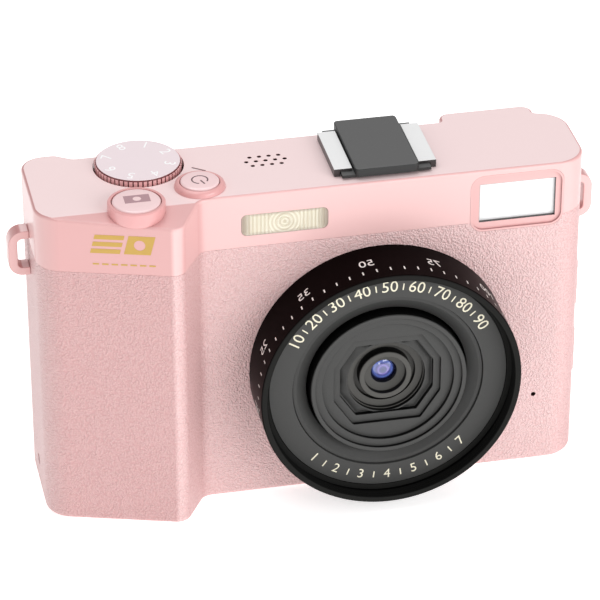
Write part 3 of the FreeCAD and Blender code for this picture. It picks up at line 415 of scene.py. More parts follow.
def tree_opened(name, sockets):
    """A geometry tree with named inputs; gives the tree, its wiring and those inputs."""
    tree = bpy.data.node_groups.new(name, "GeometryNodeTree")
    for socket_name, kind in sockets.items():
        tree.interface.new_socket(socket_name, in_out="INPUT", socket_type="NodeSocket" + kind)
    tree.interface.new_socket("Made", in_out="OUTPUT", socket_type="NodeSocketGeometry")
    given = tree.nodes.new("NodeGroupInput")
    wire = Wire(tree)
    return tree, wire, {socket.name: Wire(tree, socket) for socket in given.outputs if socket.name}


def tree_closed(wire, copies, material):
    """Makes copies whole, gives them their material and leads them out of the tree."""
    whole = wire.node("GeometryNodeRealizeInstances", inputs={0: copies})
    whole = wire.node("GeometryNodeSetMaterial", inputs={"Geometry": whole, "Material": material})
    wire.tree.links.new(whole.socket, wire.tree.nodes.new("NodeGroupOutput").inputs[0])


bar_tree, wire, ask = tree_opened("set of bars", {
    "Count": "Int", "Bar": "Vector", "Start": "Vector", "Step": "Vector", "Reach": "Vector",
    "First turn": "Float", "Turn": "Float", "Finish": "Material"})
index = wire.node("GeometryNodeInputIndex")
step = wire.node("ShaderNodeVectorMath", {"operation": "SCALE"},
                 {0: ask["Step"], "Scale": index})
position = wire.node("ShaderNodeVectorMath", {"operation": "ADD"}, {0: ask["Start"], 1: step})
points = wire.node("GeometryNodePoints", inputs={"Count": ask["Count"], "Position": position})
bar = wire.node("GeometryNodeMeshCube", inputs={"Size": ask["Bar"]})
bar = wire.node("GeometryNodeTransform", inputs={"Geometry": bar, "Translation": ask["Reach"]})
turn = wire.node("ShaderNodeCombineXYZ", inputs={"Z": ask["First turn"] + ask["Turn"] * index})
copies = wire.node("GeometryNodeInstanceOnPoints",
                   inputs={"Points": points, "Instance": bar, "Rotation": turn})
tree_closed(wire, copies, ask["Finish"])


def plain_mesh(piece):
    """A piece's mesh as it looks with its modifiers or curves worked out."""
    seen = piece.evaluated_get(bpy.context.evaluated_depsgraph_get())
    return bpy.data.meshes.new_from_object(seen)


def grown(tree, name, base=None, **inputs):
    """The plain mesh object that a geometry tree makes from a base mesh and named inputs."""
    piece = linked(name.replace(" ", "-"), base or bpy.data.meshes.new(name))
    grower = piece.modifiers.new(name, "NODES")
    grower.node_group = tree
    for item in tree.interface.items_tree:
        if item.in_out == "INPUT" and item.name in inputs:
            grower[item.identifier] = inputs[item.name]
    mesh = plain_mesh(piece)
    piece.modifiers.remove(grower)
    piece.data = mesh
    return piece


def bars(name, material, count, bar, start=(0, 0, 0), step=(0, 0, 0), reach=(0, 0, 0),
         first_turn=0.0, turn=0.0):
    """A row or ring of small bars; sizes in millimetres, turns in degrees."""
    sizes = {key: [level * MM for level in value]
             for key, value in (("Bar", bar), ("Start", start), ("Step", step), ("Reach", reach))}
    return grown(bar_tree, name, Count=count, Finish=material, Turn=math.radians(turn),
                 **sizes, **{"First turn": math.radians(first_turn)})


def figure_mesh(text, size, thickness):
    """Flat printed figures, centred, as a thin mesh in millimetre sizes."""
    curve = bpy.data.curves.new(text, "FONT")
    curve.body = text
    curve.size = size * MM
    curve.align_x = "CENTER"
    curve.align_y = "CENTER"
    curve.extrude = thickness / 2 * MM
    curve.resolution_u = 3
    holder = linked(text, curve)
    mesh = plain_mesh(holder)
    bpy.data.objects.remove(holder)
    return mesh


def printed(name, marks, material, wrap=None):
    """Joins placed figure meshes into one printed piece; wrap bends each point."""
    shape = bmesh.new()
    for mesh, place in marks:
        mesh.transform(place)
        shape.from_mesh(mesh)
    if wrap:
        for vert in shape.verts:
            vert.co = wrap(vert.co)
    bmesh.ops.remove_doubles(shape, verts=shape.verts, dist=0.0005 * MM)
    bmesh.ops.recalc_face_normals(shape, faces=shape.faces)
    piece = finished(shape, name)
    coated(piece, material)
    return piece


def joined(name, pieces):
    """Several mesh pieces as one."""
    shape = bmesh.new()
    for piece in pieces:
        shape.from_mesh(piece.data)
    material = pieces[0].data.materials[0]
    for piece in pieces:
        bpy.data.objects.remove(piece)
    whole = finished(shape, name)
    coated(whole, material)
    return whole


def round_barrel(point):
    """Wraps x round the lens axis, with y forward along the barrel; figures come out mirrored."""
    angle = point.x / (BARREL_RADIUS * MM)
    radius = BARREL_RADIUS * MM + point.z
    return LENS_FRONT + Vector((math.sin(angle) * radius, -point.y, math.cos(angle) * radius))


white_ink = finish("white print", tint(226, 222, 218), 0.5)[0]
FIGURES_TURN = 5.3
FIGURES_DEPTH = 6.3
INK = 0.03
SIDE_FIGURES = ["8", "12", "18", "25", "35", "50", "75", "100", "150", "200", "300", "500"]
marks = []
for index, text in enumerate(SIDE_FIGURES):
    along = (index - FIGURES_TURN) * math.tau * BARREL_RADIUS / len(SIDE_FIGURES) * MM
    marks.append((figure_mesh(text, 3.3, INK),
                  Matrix.Translation((along, FIGURES_DEPTH * MM, 0.01 * MM))
                  @ Matrix.Rotation(math.pi, 4, "Z")))
side_figures = printed("barrel figures", marks, white_ink, round_barrel)
side_ticks = bars("barrel ticks", white_ink, 60, (0.28, INK, 1.1),
                  reach=(0, BARREL_RADIUS, 9.6), turn=6)
side_ticks.data.transform(Matrix.Translation(LENS_FRONT) @ Matrix.Rotation(math.pi / 2, 4, "X"))
side_print = joined("barrel side print", [side_figures, side_ticks])
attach(side_print, "camera")


# --- Scale ring ----------------------------------------------------------------------
# A flat grey ring pressed in behind the filter thread, printed with a cream scale of
# figures and ticks.

RING_MIDDLE = 22.7
FIGURE_STEP = 14.5

satin_grey = finish("satin grey ring", tint(70, 70, 69), 0.5, 0.5 * MM, 0.03, 0.01 * MM,
                    {"IOR": 1.3})[0]
scale_ring = turned("scale ring", behind_rim([(20.2, 4.95), (25.1, 4.95), (25.1, RING_DEPTH),
                                              (20.2, RING_DEPTH)]), LENS_FRONT, FORWARD, 0.1)
fitted(scale_ring, satin_grey, "camera", "scale_ring")

cream_ink = finish("cream print", tint(236, 230, 206), 0.5)[0]
FACE_UP = Matrix.Rotation(math.pi / 2, 4, "X")
ring_face = LENS_FRONT + Vector((0, -(BARREL_LENGTH - RING_DEPTH) * MM, 0))


def arc_of_figures(texts, size, step, reach):
    """Figures in an arc about the lens axis, step degrees apart, the middle one upright."""
    marks = []
    for index, text in enumerate(texts):
        turn_in = Matrix.Rotation(math.radians((index - len(texts) // 2) * step), 4, "Y")
        marks.append((figure_mesh(text, size, INK), Matrix.Translation(ring_face) @ turn_in
                      @ Matrix.Translation((0, 0, reach * MM)) @ FACE_UP))
    return marks


marks = arc_of_figures([str(10 * (index + 1)) for index in range(9)], 3.6, FIGURE_STEP, RING_MIDDLE)
marks += arc_of_figures([str(index + 1) for index in range(7)], 3.0, -FIGURE_STEP, -RING_MIDDLE)
ring_figures = printed("ring figures", marks, cream_ink)
top_ticks = bars("ring ticks", cream_ink, 8, (0.26, 1.5, INK), reach=(0, RING_MIDDLE, 0),
                 first_turn=3.5 * FIGURE_STEP, turn=-FIGURE_STEP)
low_ticks = bars("lower ring ticks", cream_ink, 6, (0.26, 1.5, INK), reach=(0, RING_MIDDLE, 0),
                 first_turn=180 + 2.5 * FIGURE_STEP, turn=-FIGURE_STEP)
for ticks in (top_ticks, low_ticks):
    ticks.data.transform(Matrix.Translation(ring_face) @ FACE_UP)
ring_print = joined("scale ring print", [ring_figures, top_ticks, low_ticks])
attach(ring_print, "camera")


# --- Bezel ring ----------------------------------------------------------------------
# A turned grey ring whose inner face is a cone down to the focus barrel, held by its
# flange behind the scale ring.

def wall_shaded(name, grey, dark, roughness, power=1.5):
    """A turned lens finish: faces across the axis are grey, and walls along it get painted shade.
    """
    material, wire, surface = finish(name, tint(*grey), roughness, 0.5 * MM, 0.02,
                                     fixed={"IOR": 1.3})
    ahead = abs(facing(wire, "Y")) ** power
    even = blended(wire, speckle(wire, 0.8 * MM), tint(*grey),
                   tint(*[level * 0.97 for level in grey]))
    # Painted shade on the walls along the axis.
    feed(surface, "Base Color", blended(wire, ahead, tint(*dark), even))
    return material


# Grey bezel with painted shade on its walls.
bezel_grey = wall_shaded("grey bezel", (66, 66, 65), (10, 10, 10), 0.45)
bezel = turned("bezel ring", behind_rim(
    [(17, 9), (17, 5.2), (19.33, 4.05), (20.1, 4), (20.1, 4.95), (22.9, 4.95), (22.9, 9)]),
    LENS_FRONT, FORWARD, 0.15)
fitted(bezel, bezel_grey, "camera", "bezel_ring")


# --- Focus barrel --------------------------------------------------------------------
# The moulded barrel that carries the front lens group and slides a little to focus. Its
# face steps down in two rings to an eight-sided recess with a low mound round the cell.

def eight_sided(width, height, corner):
    """Outline points of a rectangle with cut corners, at the same angles as circle()."""
    across, tall = width / 2, height / 2
    slope = 1.5
    points = []
    for x, y in circle(1):
        ux, uy = abs(x) / MM, abs(y) / MM
        reach = min(across / max(ux, 1e-9), tall / max(uy, 1e-9),
                    (tall + (across - corner) * slope) / (uy + ux * slope))
        points.append((x * reach, y * reach))
    return points


def inside_both(first, second):
    """At each angle, whichever outline is nearer the axis."""
    return [min(pair, key=lambda point: math.hypot(*point)) for pair in zip(first, second)]


outer_funnel = eight_sided(22.6, 20.2, 4.1)
inner_funnel = eight_sided(19.7, 16.7, 3.4)
mound_foot = eight_sided(19.2, 16.46, 3.5)
mound_top = inside_both(circle(8.6), eight_sided(18.0, 16.44, 3.9))
focus_steps = [
    (circle(8.2), 13.8), (circle(16.5), 13.8), (circle(16.5), 2.95), (circle(16.35), 2.8),
    (circle(15.62), 2.8), (circle(15.55), 2.86), (circle(15.55), 3.5), (circle(13.97), 3.5),
    (circle(13.9), 3.57), (circle(13.9), 4.35), (circle(13.85), 4.4),
    (eight_sided(22.72, 20.32, 4.1), 4.4), (outer_funnel, 4.46), (outer_funnel, 5.2),
    (eight_sided(19.8, 16.8, 3.4), 5.2), (inner_funnel, 5.26), (inner_funnel, 6.25),
    (eight_sided(19.3, 16.5, 3.45), 6.3), (mound_foot, 6.25), (mound_top, 5.65),
    (circle(8.27), 5.6), (circle(8.22), 5.65), (circle(8.2), 6.44),
]
focus_barrel = lofted("focus barrel", [(outline, (BARREL_LENGTH - depth) * MM)
                                       for outline, depth in focus_steps], LENS_FRONT, FORWARD)
# Grey focus barrel with painted shade on its walls.
focus_grey = wall_shaded("grey focus barrel", (72, 72, 71), (4, 4, 4), 0.45)
fitted(focus_barrel, focus_grey, "focus_group", "focus_barrel")


# --- Lens cell and its glass ---------------------------------------------------------
# A dark moulded cell with a raised cup round a small hole, and the elements stacked in
# it. The front element is a tight dome with a blue and violet coating.

CELL_BACK = 13.2

# Grey lens cell with painted shade on its walls.
cell_black = wall_shaded("lens cell", (84, 83, 80), (6, 6, 6), 0.42)
cell = turned("lens cell", behind_rim(
    [(4.4, CELL_BACK), (4.4, 8.95), (2.76, 8.95), (2.76, 7.85), (4.26, 7.4), (4.4, 7.3),
     (4.4, 6.25), (4.5, 6.18), (5.45, 6.15), (5.6, 6.3), (5.6, 8.4), (6.56, 8.4), (6.56, 7.3),
     (8, 7.2), (8, 6.44), (8.2, 6.4), (8.2, CELL_BACK)]), LENS_FRONT, FORWARD, 0.05)
fitted(cell, cell_black, "focus_group", "lens_cell")


def element(name, radius, front, rise, back, foot=None, steps=14):
    """A round glass element: domed in front, flat behind, its foot clamped in the cell."""
    ball = (radius ** 2 + rise ** 2) / (2 * rise)
    dome = []
    for step in range(steps + 1):
        out = radius * step / steps
        dome.append((out, front + rise - (math.sqrt(ball ** 2 - out ** 2) - (ball - rise))))
    rim = [(foot, dome[-1][1]), (foot, back)] if foot else [(radius, back)]
    rings = [(circle(out, 96), (BARREL_LENGTH - depth) * MM)
             for out, depth in dome + rim + [(0, back)]]
    return lofted(name, rings, LENS_FRONT, FORWARD)


coated_glass, wire, surface = finish("coated front glass", tint(40, 44, 120), 0.04, 1 * MM, 0.02,
                                     fixed={"Coat Weight": 1.0, "Coat Roughness": 0.02,
                                            "Specular IOR Level": 0.9})
x, y, z = spot(wire)
rise = z - LENS_FRONT.z
ring_out = ((x * x + rise * rise) ** 0.5) * (1 / (2.45 * MM))
# Painted reflections: rings of blue and violet across the dome copy reflections of the elements
# behind it, over the coating's own blue; the colour darkens at the rim.
coating_and_reflections = [(0.0, tint(70, 80, 120)), (0.28, tint(84, 88, 146)), (0.42, tint(136, 124, 204)),
           (0.58, tint(80, 86, 150)), (0.8, tint(104, 124, 208)), (1.0, tint(24, 26, 60))]
feed(surface, "Base Color",
     wire.node("ShaderNodeValToRGB", {"stops": coating_and_reflections}, {0: ring_out}))
front_glass = element("front glass", 2.45, 8.35, 0.65, 11, 4.3)
fitted(front_glass, coated_glass, "focus_group", "front_glass")

for body, node, sizes in (
        ("focus_group", "middle_glass", (4.3, 11.1, 0.5, CELL_BACK)),
        ("camera", "rear_glass", (6, 16.7, 0.8, 19.9))):
    fitted(element(node.replace("_", " "), *sizes), coated_glass, body, node)


# --- Sensor group --------------------------------------------------------------------
# Behind the lens: a moulded holder for the rear element, a filter glass, the sensor and
# its board, all screwed to the front shell.

def dressed(material, *nodes):
    """Gives pieces that stay as the frame has them their finish."""
    for node in nodes:
        coated(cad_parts[node], material)


clear_glass = finish("clear glass", tint(214, 220, 222), 0.06, 2 * MM, 0.02,
                     fixed=coat(1.0, 0.02))[0]
dark_plastic = finish("dark moulded plastic", tint(38, 38, 40), 0.55, 0.3 * MM, 0.12, 0.02 * MM)[0]
board_green = finish("circuit board", tint(28, 92, 60), 0.45, 0.8 * MM, 0.3, 0.01 * MM)[0]
sensor_face = finish("sensor face", tint(58, 50, 84), 0.15, 0.05 * MM, 0.3)[0]
dressed(dark_plastic, "rear_lens_holder")
dressed(clear_glass, "filter_glass")
dressed(sensor_face, "image_sensor")
dressed(board_green, "sensor_board", "main_board", "button_board")


# --- Viewfinder ----------------------------------------------------------------------
# A pink frame let into the front with a pane painted white for the reflection in it, a
# dark tube behind it to the eyepiece, and a soft black eyecup on the back.

OPENING_LOW = Vector((20.95, 59.8)) * MM
OPENING_HIGH = Vector((36.95, 68.5)) * MM

finder_pink, wire, surface = finish("finder frame pink", tint(230, 180, 178), 0.34, 1.5 * MM, 0.015,
                                    fixed=coat(0.3, 0.18))
x, y, z = spot(wire)
off_x = abs(x - (OPENING_LOW.x + OPENING_HIGH.x) / 2) - (OPENING_HIGH.x - OPENING_LOW.x) / 2
off_z = abs(z - (OPENING_LOW.y + OPENING_HIGH.y) / 2) - (OPENING_HIGH.y - OPENING_LOW.y) / 2
# Painted shadow: a thin near-black line on the frame just round the window's opening.
reveal_shadow = wire.maths("MAXIMUM", off_x, off_z) < 0.06 * MM
# Painted shade: faces of the frame not turned to the front are painted a deeper pink.
flat = abs(facing(wire, "Y")) > 0.9
rim = blended(wire, flat, tint(190, 134, 134), tint(234, 184, 182))
feed(surface, "Base Color", blended(wire, reveal_shadow, rim, tint(40, 22, 22)))
recut("finder_frame", "finder frame", finder_pink, "camera", 0.05 * MM)

# Painted reflection: the pane is painted near white, for the bright reflection in it.
pane_painted_white = finish("pane with painted white reflection", tint(250, 250, 250), 0.08, 3 * MM, 0.01,
                    fixed=coat(1.0, 0.02))[0]
recut("finder_window", "finder pane", pane_painted_white, "camera", 0.05 * MM)
dressed(dark_plastic, "finder_tube")
dressed(sensor_face, "finder_display")

eyepiece_dark = finish("eyepiece glass", tint(26, 28, 34), 0.05, 2 * MM, 0.05,
                       fixed=coat(1.0, 0.02))[0]
dressed(eyepiece_dark, "eyepiece_glass")

soft_rubber = finish("black rubber", tint(34, 33, 34), 0.7, 0.25 * MM, 0.1, 0.02 * MM)[0]
recut("eyecup", "rubber eyecup", soft_rubber, "camera", 0.3 * MM)


# --- Fill light ----------------------------------------------------------------------
# A clear moulded window over the light: upright prisms spread the beam and fine rings
# surround its middle. Its reflector shows cream through it.

LIGHT_LOW = Vector((-28.8, 62.6)) * MM
LIGHT_HIGH = Vector((-10.9, 67.4)) * MM
LIGHT_ROUND = 1.2 * MM
PRISM_PITCH = 0.62 * MM
PRISM_RISE = 0.12 * MM
RINGS_PITCH = 0.55 * MM
RINGS_EDGE = 2.6 * MM
RINGS_SOFT = 0.35 * MM

light_cream, wire, surface = finish("cream light window", tint(236, 232, 208), 0.22, 1 * MM, 0.03,
                                    fixed=coat(0.8, 0.05))
x, y, z = spot(wire)
centre_x = (LIGHT_LOW.x + LIGHT_HIGH.x) / 2
centre_z = (LIGHT_LOW.y + LIGHT_HIGH.y) / 2
# The window turns grey towards its ends and its long edges; along the edges this is painted shade
# at the step round the window.
end = eased_step(wire, abs(x - centre_x), 6.6 * MM, 8.9 * MM)
side = eased_step(wire, abs(z - centre_z), 1.7 * MM, 2.4 * MM)
edge = wire.maths("MAXIMUM", end, side * 0.7)
off_x = x - centre_x
off_z = z - centre_z
reach = (off_x * off_x + off_z * off_z) ** 0.5
ringed = reach < 3.4 * MM
across = x * (1 - ringed) + reach * ringed
ribs = wire.maths("SINE", across * (math.tau / (PRISM_PITCH * 1.3))) * 0.5 + 0.5
cream = blended(wire, ribs * 0.6, tint(240, 234, 214), tint(196, 180, 150))
feed(surface, "Base Color", blended(wire, edge, cream, tint(160, 142, 126)))


def rounded_inset(x, z, low, high, corner):
    """How far a point lies inside a rounded rectangle."""
    dx = abs(x - (low.x + high.x) / 2) - ((high.x - low.x) / 2 - corner)
    dz = abs(z - (low.y + high.y) / 2) - ((high.y - low.y) / 2 - corner)
    outside = math.hypot(max(dx, 0), max(dz, 0)) + min(max(dx, dz), 0)
    return corner - outside


COLUMNS, ROWS = 300, 60
LIP = 0.14 * MM

shape = bmesh.new()
face_rows = []
for row in range(ROWS + 1):
    line = []
    for column in range(COLUMNS + 1):
        x = LIGHT_LOW.x + (LIGHT_HIGH.x - LIGHT_LOW.x) * column / COLUMNS
        z = LIGHT_LOW.y + (LIGHT_HIGH.y - LIGHT_LOW.y) * row / ROWS
        inset = rounded_inset(x, z, LIGHT_LOW, LIGHT_HIGH, LIGHT_ROUND)
        reach = math.hypot(x - centre_x, z - centre_z)
        rings = 1 / (1 + math.exp((reach - RINGS_EDGE) / RINGS_SOFT))
        wave = (rings * math.cos(math.tau * reach / RINGS_PITCH)
                + (1 - rings) * math.cos(math.tau * (reach if reach < 5 * MM else x)
                                         / PRISM_PITCH))
        fade = min(max((inset - LIP) / (0.2 * MM), 0), 1)
        y = FRONT_FACE_Y + PRISM_RISE * fade * (0.5 - 0.5 * wave)
        line.append(shape.verts.new((x, y, z)) if inset > -0.02 * MM else None)
    face_rows.append(line)
for low, high in zip(face_rows, face_rows[1:]):
    for i in range(COLUMNS):
        corners = (low[i], low[i + 1], high[i + 1], high[i])
        if all(corners):
            shape.faces.new(corners)
for edge in [edge for edge in shape.edges if edge.is_boundary]:
    for vert in edge.verts:
        vert.co.y = FRONT_FACE_Y
border = [edge for edge in shape.edges if edge.is_boundary]
made = bmesh.ops.extrude_edge_only(shape, edges=border)["geom"]
for vert in [item for item in made if isinstance(item, bmesh.types.BMVert)]:
    vert.co.y += 1.6 * MM
back = [edge for edge in shape.edges if edge.is_boundary]
bmesh.ops.holes_fill(shape, edges=back)
bmesh.ops.recalc_face_normals(shape, faces=shape.faces)
light = finished(shape, "light window", 60)
fitted(light, light_cream, "camera", "light_window")


# --- Mode dial -----------------------------------------------------------------------
# A pink moulded dial sunk in its well, with grip ribs round the edge and a pale face
# printed with eight white figures. It clicks round on a switch below.

DIAL_CENTRE = Vector((-46.9, 5.6, 0)) * MM
DIAL_TOP = 73.2
DIAL_BASE = 68.7
DIAL_RIBS = 56
DIAL_CREST = 8.74

dial_paint, wire, surface = finish("dial face and edge", tint(240, 224, 228), 0.3, 2 * MM, 0.02,
                                   fixed=coat(0.3, 0.15))
x, y, z = spot(wire)
face = z > (DIAL_TOP - 0.06) * MM
# Painted shade: the dial's side short of the rib crests, the ribs' flanks and the grooves between
# them, is painted a deep brownish pink.
crest = ((x - DIAL_CENTRE.x) ** 2 + (y - DIAL_CENTRE.y) ** 2) > (DIAL_CREST * MM) ** 2
edge = blended(wire, crest, tint(120, 62, 64), tint(232, 176, 176))
feed(surface, "Base Color", blended(wire, face, edge, tint(240, 224, 228)))
dial_body = turned("dial body", [(0, DIAL_BASE - 4.5), (1.5, DIAL_BASE - 4.5), (1.5, DIAL_BASE),
                                 (8.62, DIAL_BASE), (8.62, DIAL_TOP - 0.2), (8.55, DIAL_TOP),
                                 (0, DIAL_TOP)], DIAL_CENTRE, UP, 0.1, 112)
coated(dial_body, dial_paint)
dial_ribs = bars("dial ribs", dial_paint, DIAL_RIBS, (0.7, 0.5, 4.3),
                 reach=(0, 8.63, DIAL_TOP - 0.33 - 2.15), turn=360 / DIAL_RIBS)
dial_ribs.data.transform(Matrix.Translation(DIAL_CENTRE))
dial = joined("mode dial", [dial_body, dial_ribs])
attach(dial, "mode_dial")
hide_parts("mode_dial")

dial_ink = finish("dial figures", tint(255, 254, 255), 0.4)[0]
marks = []
for index in range(8):
    out = Matrix.Rotation(-math.tau * (index + 0.5) / 8, 4, "Z")
    marks.append((figure_mesh(str(index + 1), 3.4, 0.04),
                  Matrix.Translation(DIAL_CENTRE + Vector((0, 0, DIAL_TOP * MM))) @ out
                  @ Matrix.Translation((0, 6.5 * MM, 0))))
dial_figures = printed("dial figures", marks, dial_ink)
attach(dial_figures, "mode_dial")
dressed(dark_plastic, "dial_switch", "shutter_switch", "power_switch")


# --- Shutter button ------------------------------------------------------------------
# A low sleeve on the grip's sloping top round a broad dished button; a small generic
# picture of a camera is cut in its face.

SHUTTER_CENTRE = Vector((-50.3, -12.6, 0)) * MM
SHUTTER_TOP = 74.3

# Painted shade: the sleeves and collars get a deeper copy of the band's pink, for the shade on
# their upright sides.
collar_shaded_pink = finish("collar pink with painted shade", tint(226, 166, 165), 0.34, 1.5 * MM, 0.02,
                     fixed=coat(0.35, 0.18))[0]
recut("shutter_collar", "shutter sleeve", collar_shaded_pink, "camera", 0.12 * MM, 60)

button_pink = finish("button pink", tint(244, 212, 213), 0.3, 1 * MM, 0.02,
                     fixed=coat(0.4, 0.15))[0]
shutter = turned("shutter button", [
    (0, 65), (1.8, 65), (1.8, SHUTTER_TOP - 1.2), (4.92, SHUTTER_TOP - 1.2),
    (4.92, SHUTTER_TOP - 0.35), (4.6, SHUTTER_TOP - 0.1), (2.75, SHUTTER_TOP - 0.02),
    (0, SHUTTER_TOP - 0.02)], SHUTTER_CENTRE, UP, 0.12, 112)
fitted(shutter, button_pink, "shutter_button", "shutter_button")

engraved = finish("engraved mark", tint(176, 140, 146), 0.6, 0.3 * MM, 0.06)[0]
engraved_dark = finish("dark engraved mark", tint(96, 72, 78), 0.6, 0.3 * MM, 0.06)[0]


def flat_plate(name, outline, low, high, material, hole=None):
    """A thin upright-sided plate over an outline of (x, y), with an optional round hole."""
    shape = bmesh.new()
    loops = [outline] + ([hole] if hole else [])
    edges = []
    for loop in loops:
        verts = [shape.verts.new((x * MM, y * MM, low * MM)) for x, y in loop]
        edges += [shape.edges.new((verts[i - 1], verts[i])) for i in range(len(verts))]
    bmesh.ops.triangle_fill(shape, edges=edges, use_beauty=True, use_dissolve=False)
    made = bmesh.ops.extrude_face_region(shape, geom=list(shape.faces))["geom"]
    for vert in [item for item in made if isinstance(item, bmesh.types.BMVert)]:
        vert.co.z = high * MM
    bmesh.ops.recalc_face_normals(shape, faces=shape.faces)
    piece = finished(shape, name)
    coated(piece, material)
    return piece


def ring_points(radius, count=32, centre=(0, 0), first=0, sweep=360):
    steps = count if sweep == 360 else count - 1
    return [(centre[0] + radius * math.cos(math.radians(first + sweep * i / steps)),
             centre[1] + radius * math.sin(math.radians(first + sweep * i / steps)))
            for i in range(count)]


sign = flat_plate("shutter picture", [(-2.6, -1.5), (2.6, -1.5), (2.6, 1.5), (-2.6, 1.5)],
                  SHUTTER_TOP - 0.03, SHUTTER_TOP, engraved, ring_points(0.85))
sign.data.transform(Matrix.Translation(SHUTTER_CENTRE + Vector((0.2, 0.5, 0)) * MM))
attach(sign, "shutter_button")


# --- Power button --------------------------------------------------------------------
# A smaller domed button in a rounded collar on the top, marked with a power sign. A fine
# slot beside it points at the dial.

POWER_CENTRE = Vector((-36.2, -5.7, 0)) * MM
POWER_TOP = 73.6

power_collar = turned("power collar", [
    (4.1, 72), (5.3, 72), (5.0, 72.85), (4.5, 73.2), (4.1, 73.2)], POWER_CENTRE, UP, 0.15, 112)
fitted(power_collar, collar_shaded_pink, "camera", "power_collar")

power = turned("power button", [
    (0, 66), (1.5, 66), (1.5, POWER_TOP - 2), (3.95, POWER_TOP - 2), (3.95, POWER_TOP - 0.3),
    (3.6, POWER_TOP - 0.07), (2.0, POWER_TOP - 0.02), (0, POWER_TOP - 0.02)],
    POWER_CENTRE, UP, 0.12, 96)
fitted(power, button_pink, "power_button", "power_button")

arc = ring_points(1.75, 30, (0, 0), 125, 290) + ring_points(1.47, 30, (0, 0), 415, -290)
power_arc = flat_plate("power arc", arc, POWER_TOP - 0.03, POWER_TOP, engraved_dark)
power_bar = flat_plate("power bar", [(-0.15, 0.3), (0.15, 0.3), (0.15, 2.0), (-0.15, 2.0)],
                       POWER_TOP - 0.03, POWER_TOP, engraved_dark)
power_sign = joined("power sign", [power_arc, power_bar])
power_sign.data.transform(Matrix.Translation(POWER_CENTRE)
                          @ Matrix.Rotation(math.radians(200), 4, "Z"))
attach(power_sign, "power_button")


def bar_outline(x, y, wide, tall):
    return [(x - wide / 2, y - tall / 2), (x + wide / 2, y - tall / 2),
            (x + wide / 2, y + tall / 2), (x - wide / 2, y + tall / 2)]


INDEX_CENTRE = Vector((-35.12, 1.48, 0)) * MM
INDEX_TURN = -37

index_mark = flat_plate("index mark", bar_outline(0, 0, 3.18, 0.38), 71.7, 71.96, engraved_dark)
index_mark.data.transform(Matrix.Translation(INDEX_CENTRE)
                          @ Matrix.Rotation(math.radians(INDEX_TURN), 4, "Z"))
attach(index_mark, "camera")


# --- Accessory shoe ------------------------------------------------------------------
# Bright folded metal rails on a spring plate, with a black moulded cover slid in from
# the back to keep it clean.

rail_metal, wire, surface = finish("bright rail metal", tint(250, 250, 250), 0.3, 3 * MM, 0.02,
                                   fixed={"Metallic": 0.2})
# Painted reflection and shade: faces turned up are painted near white for the chrome's bright
# reflection, and the rails' other faces near black as shade.
level = abs(facing(wire, "Z"))
tone = blended(wire, speckle(wire, 3 * MM), tint(250, 250, 250), tint(244, 244, 244))
feed(surface, "Base Color", blended(wire, level * level, tint(58, 54, 54), tone))
recut("shoe_rails", "shoe rails", rail_metal, "camera", 0.1 * MM)

plain_metal = finish("plain metal", tint(176, 176, 178), 0.34, 1 * MM, 0.06,
                     fixed={"Metallic": 0.9})[0]
dressed(plain_metal, "shoe_floor")

cover_black, wire, surface = finish("cover black", tint(88, 88, 88), 0.5, 0.4 * MM, 0.03, 0.01 * MM)
# Painted light: the cover's faces that do not face up are painted a lighter grey than its
# near-black top.
level = abs(facing(wire, "Z")) > 0.8
tone = blended(wire, speckle(wire, 0.6 * MM), tint(86, 86, 86), tint(90, 90, 90))
feed(surface, "Base Color", blended(wire, level, tint(34, 35, 35), tone))
recut("shoe_cover", "shoe cover", cover_black, "shoe_cover", 0.04 * MM)


# --- Loudspeaker and microphone ------------------------------------------------------
# The loudspeaker sits under its thirteen holes in the top, and the microphone behind
# its single hole in the front.

dressed(dark_plastic, "loudspeaker", "microphone")


# --- Screen --------------------------------------------------------------------------
# A fixed display under a black-edged hard window that lies almost flush in the back.

screen_glass, wire, surface = finish("screen window", tint(14, 14, 16), 0.08, 4 * MM, 0.05,
                                     fixed={"IOR": 1.25})
x, y, z = spot(wire)
SCREEN_MIDDLE = Vector((2.25, 31.25)) * MM
picture = (abs(x - SCREEN_MIDDLE.x) < 33.5 * MM) * (abs(z - SCREEN_MIDDLE.y) < 23 * MM)
feed(surface, "Base Color", blended(wire, picture, tint(9, 9, 10), tint(20, 23, 29)))
recut("screen_window", "screen window", screen_glass, "camera")
dressed(dark_plastic, "screen_module")


# --- Buttons of the back -------------------------------------------------------------
# Four round buttons, a ring-shaped direction pad with an OK button in its middle, and a
# zoom rocker, all satin pink with engraved signs.

BACK_FACE = 11.25
BUTTON_RISE = 0.7
BUTTON_X = -47.2
PAD_Z = 29.5


def on_back(x, z, proud=BUTTON_RISE):
    """Places a flat shape on the back, upright as seen from behind."""
    return (Matrix.Translation(Vector((x, BACK_FACE + proud, z)) * MM)
            @ Matrix.Rotation(math.pi, 4, "Z") @ Matrix.Rotation(math.pi / 2, 4, "X"))


def back_sign(name, outlines, x, z, proud=BUTTON_RISE):
    """Engraved flat shapes on a button of the back."""
    parts = [flat_plate(name, outline, -0.03, 0.01, engraved_dark) for outline in outlines]
    made = joined(name, parts)
    made.data.transform(on_back(x, z, proud))
    return made


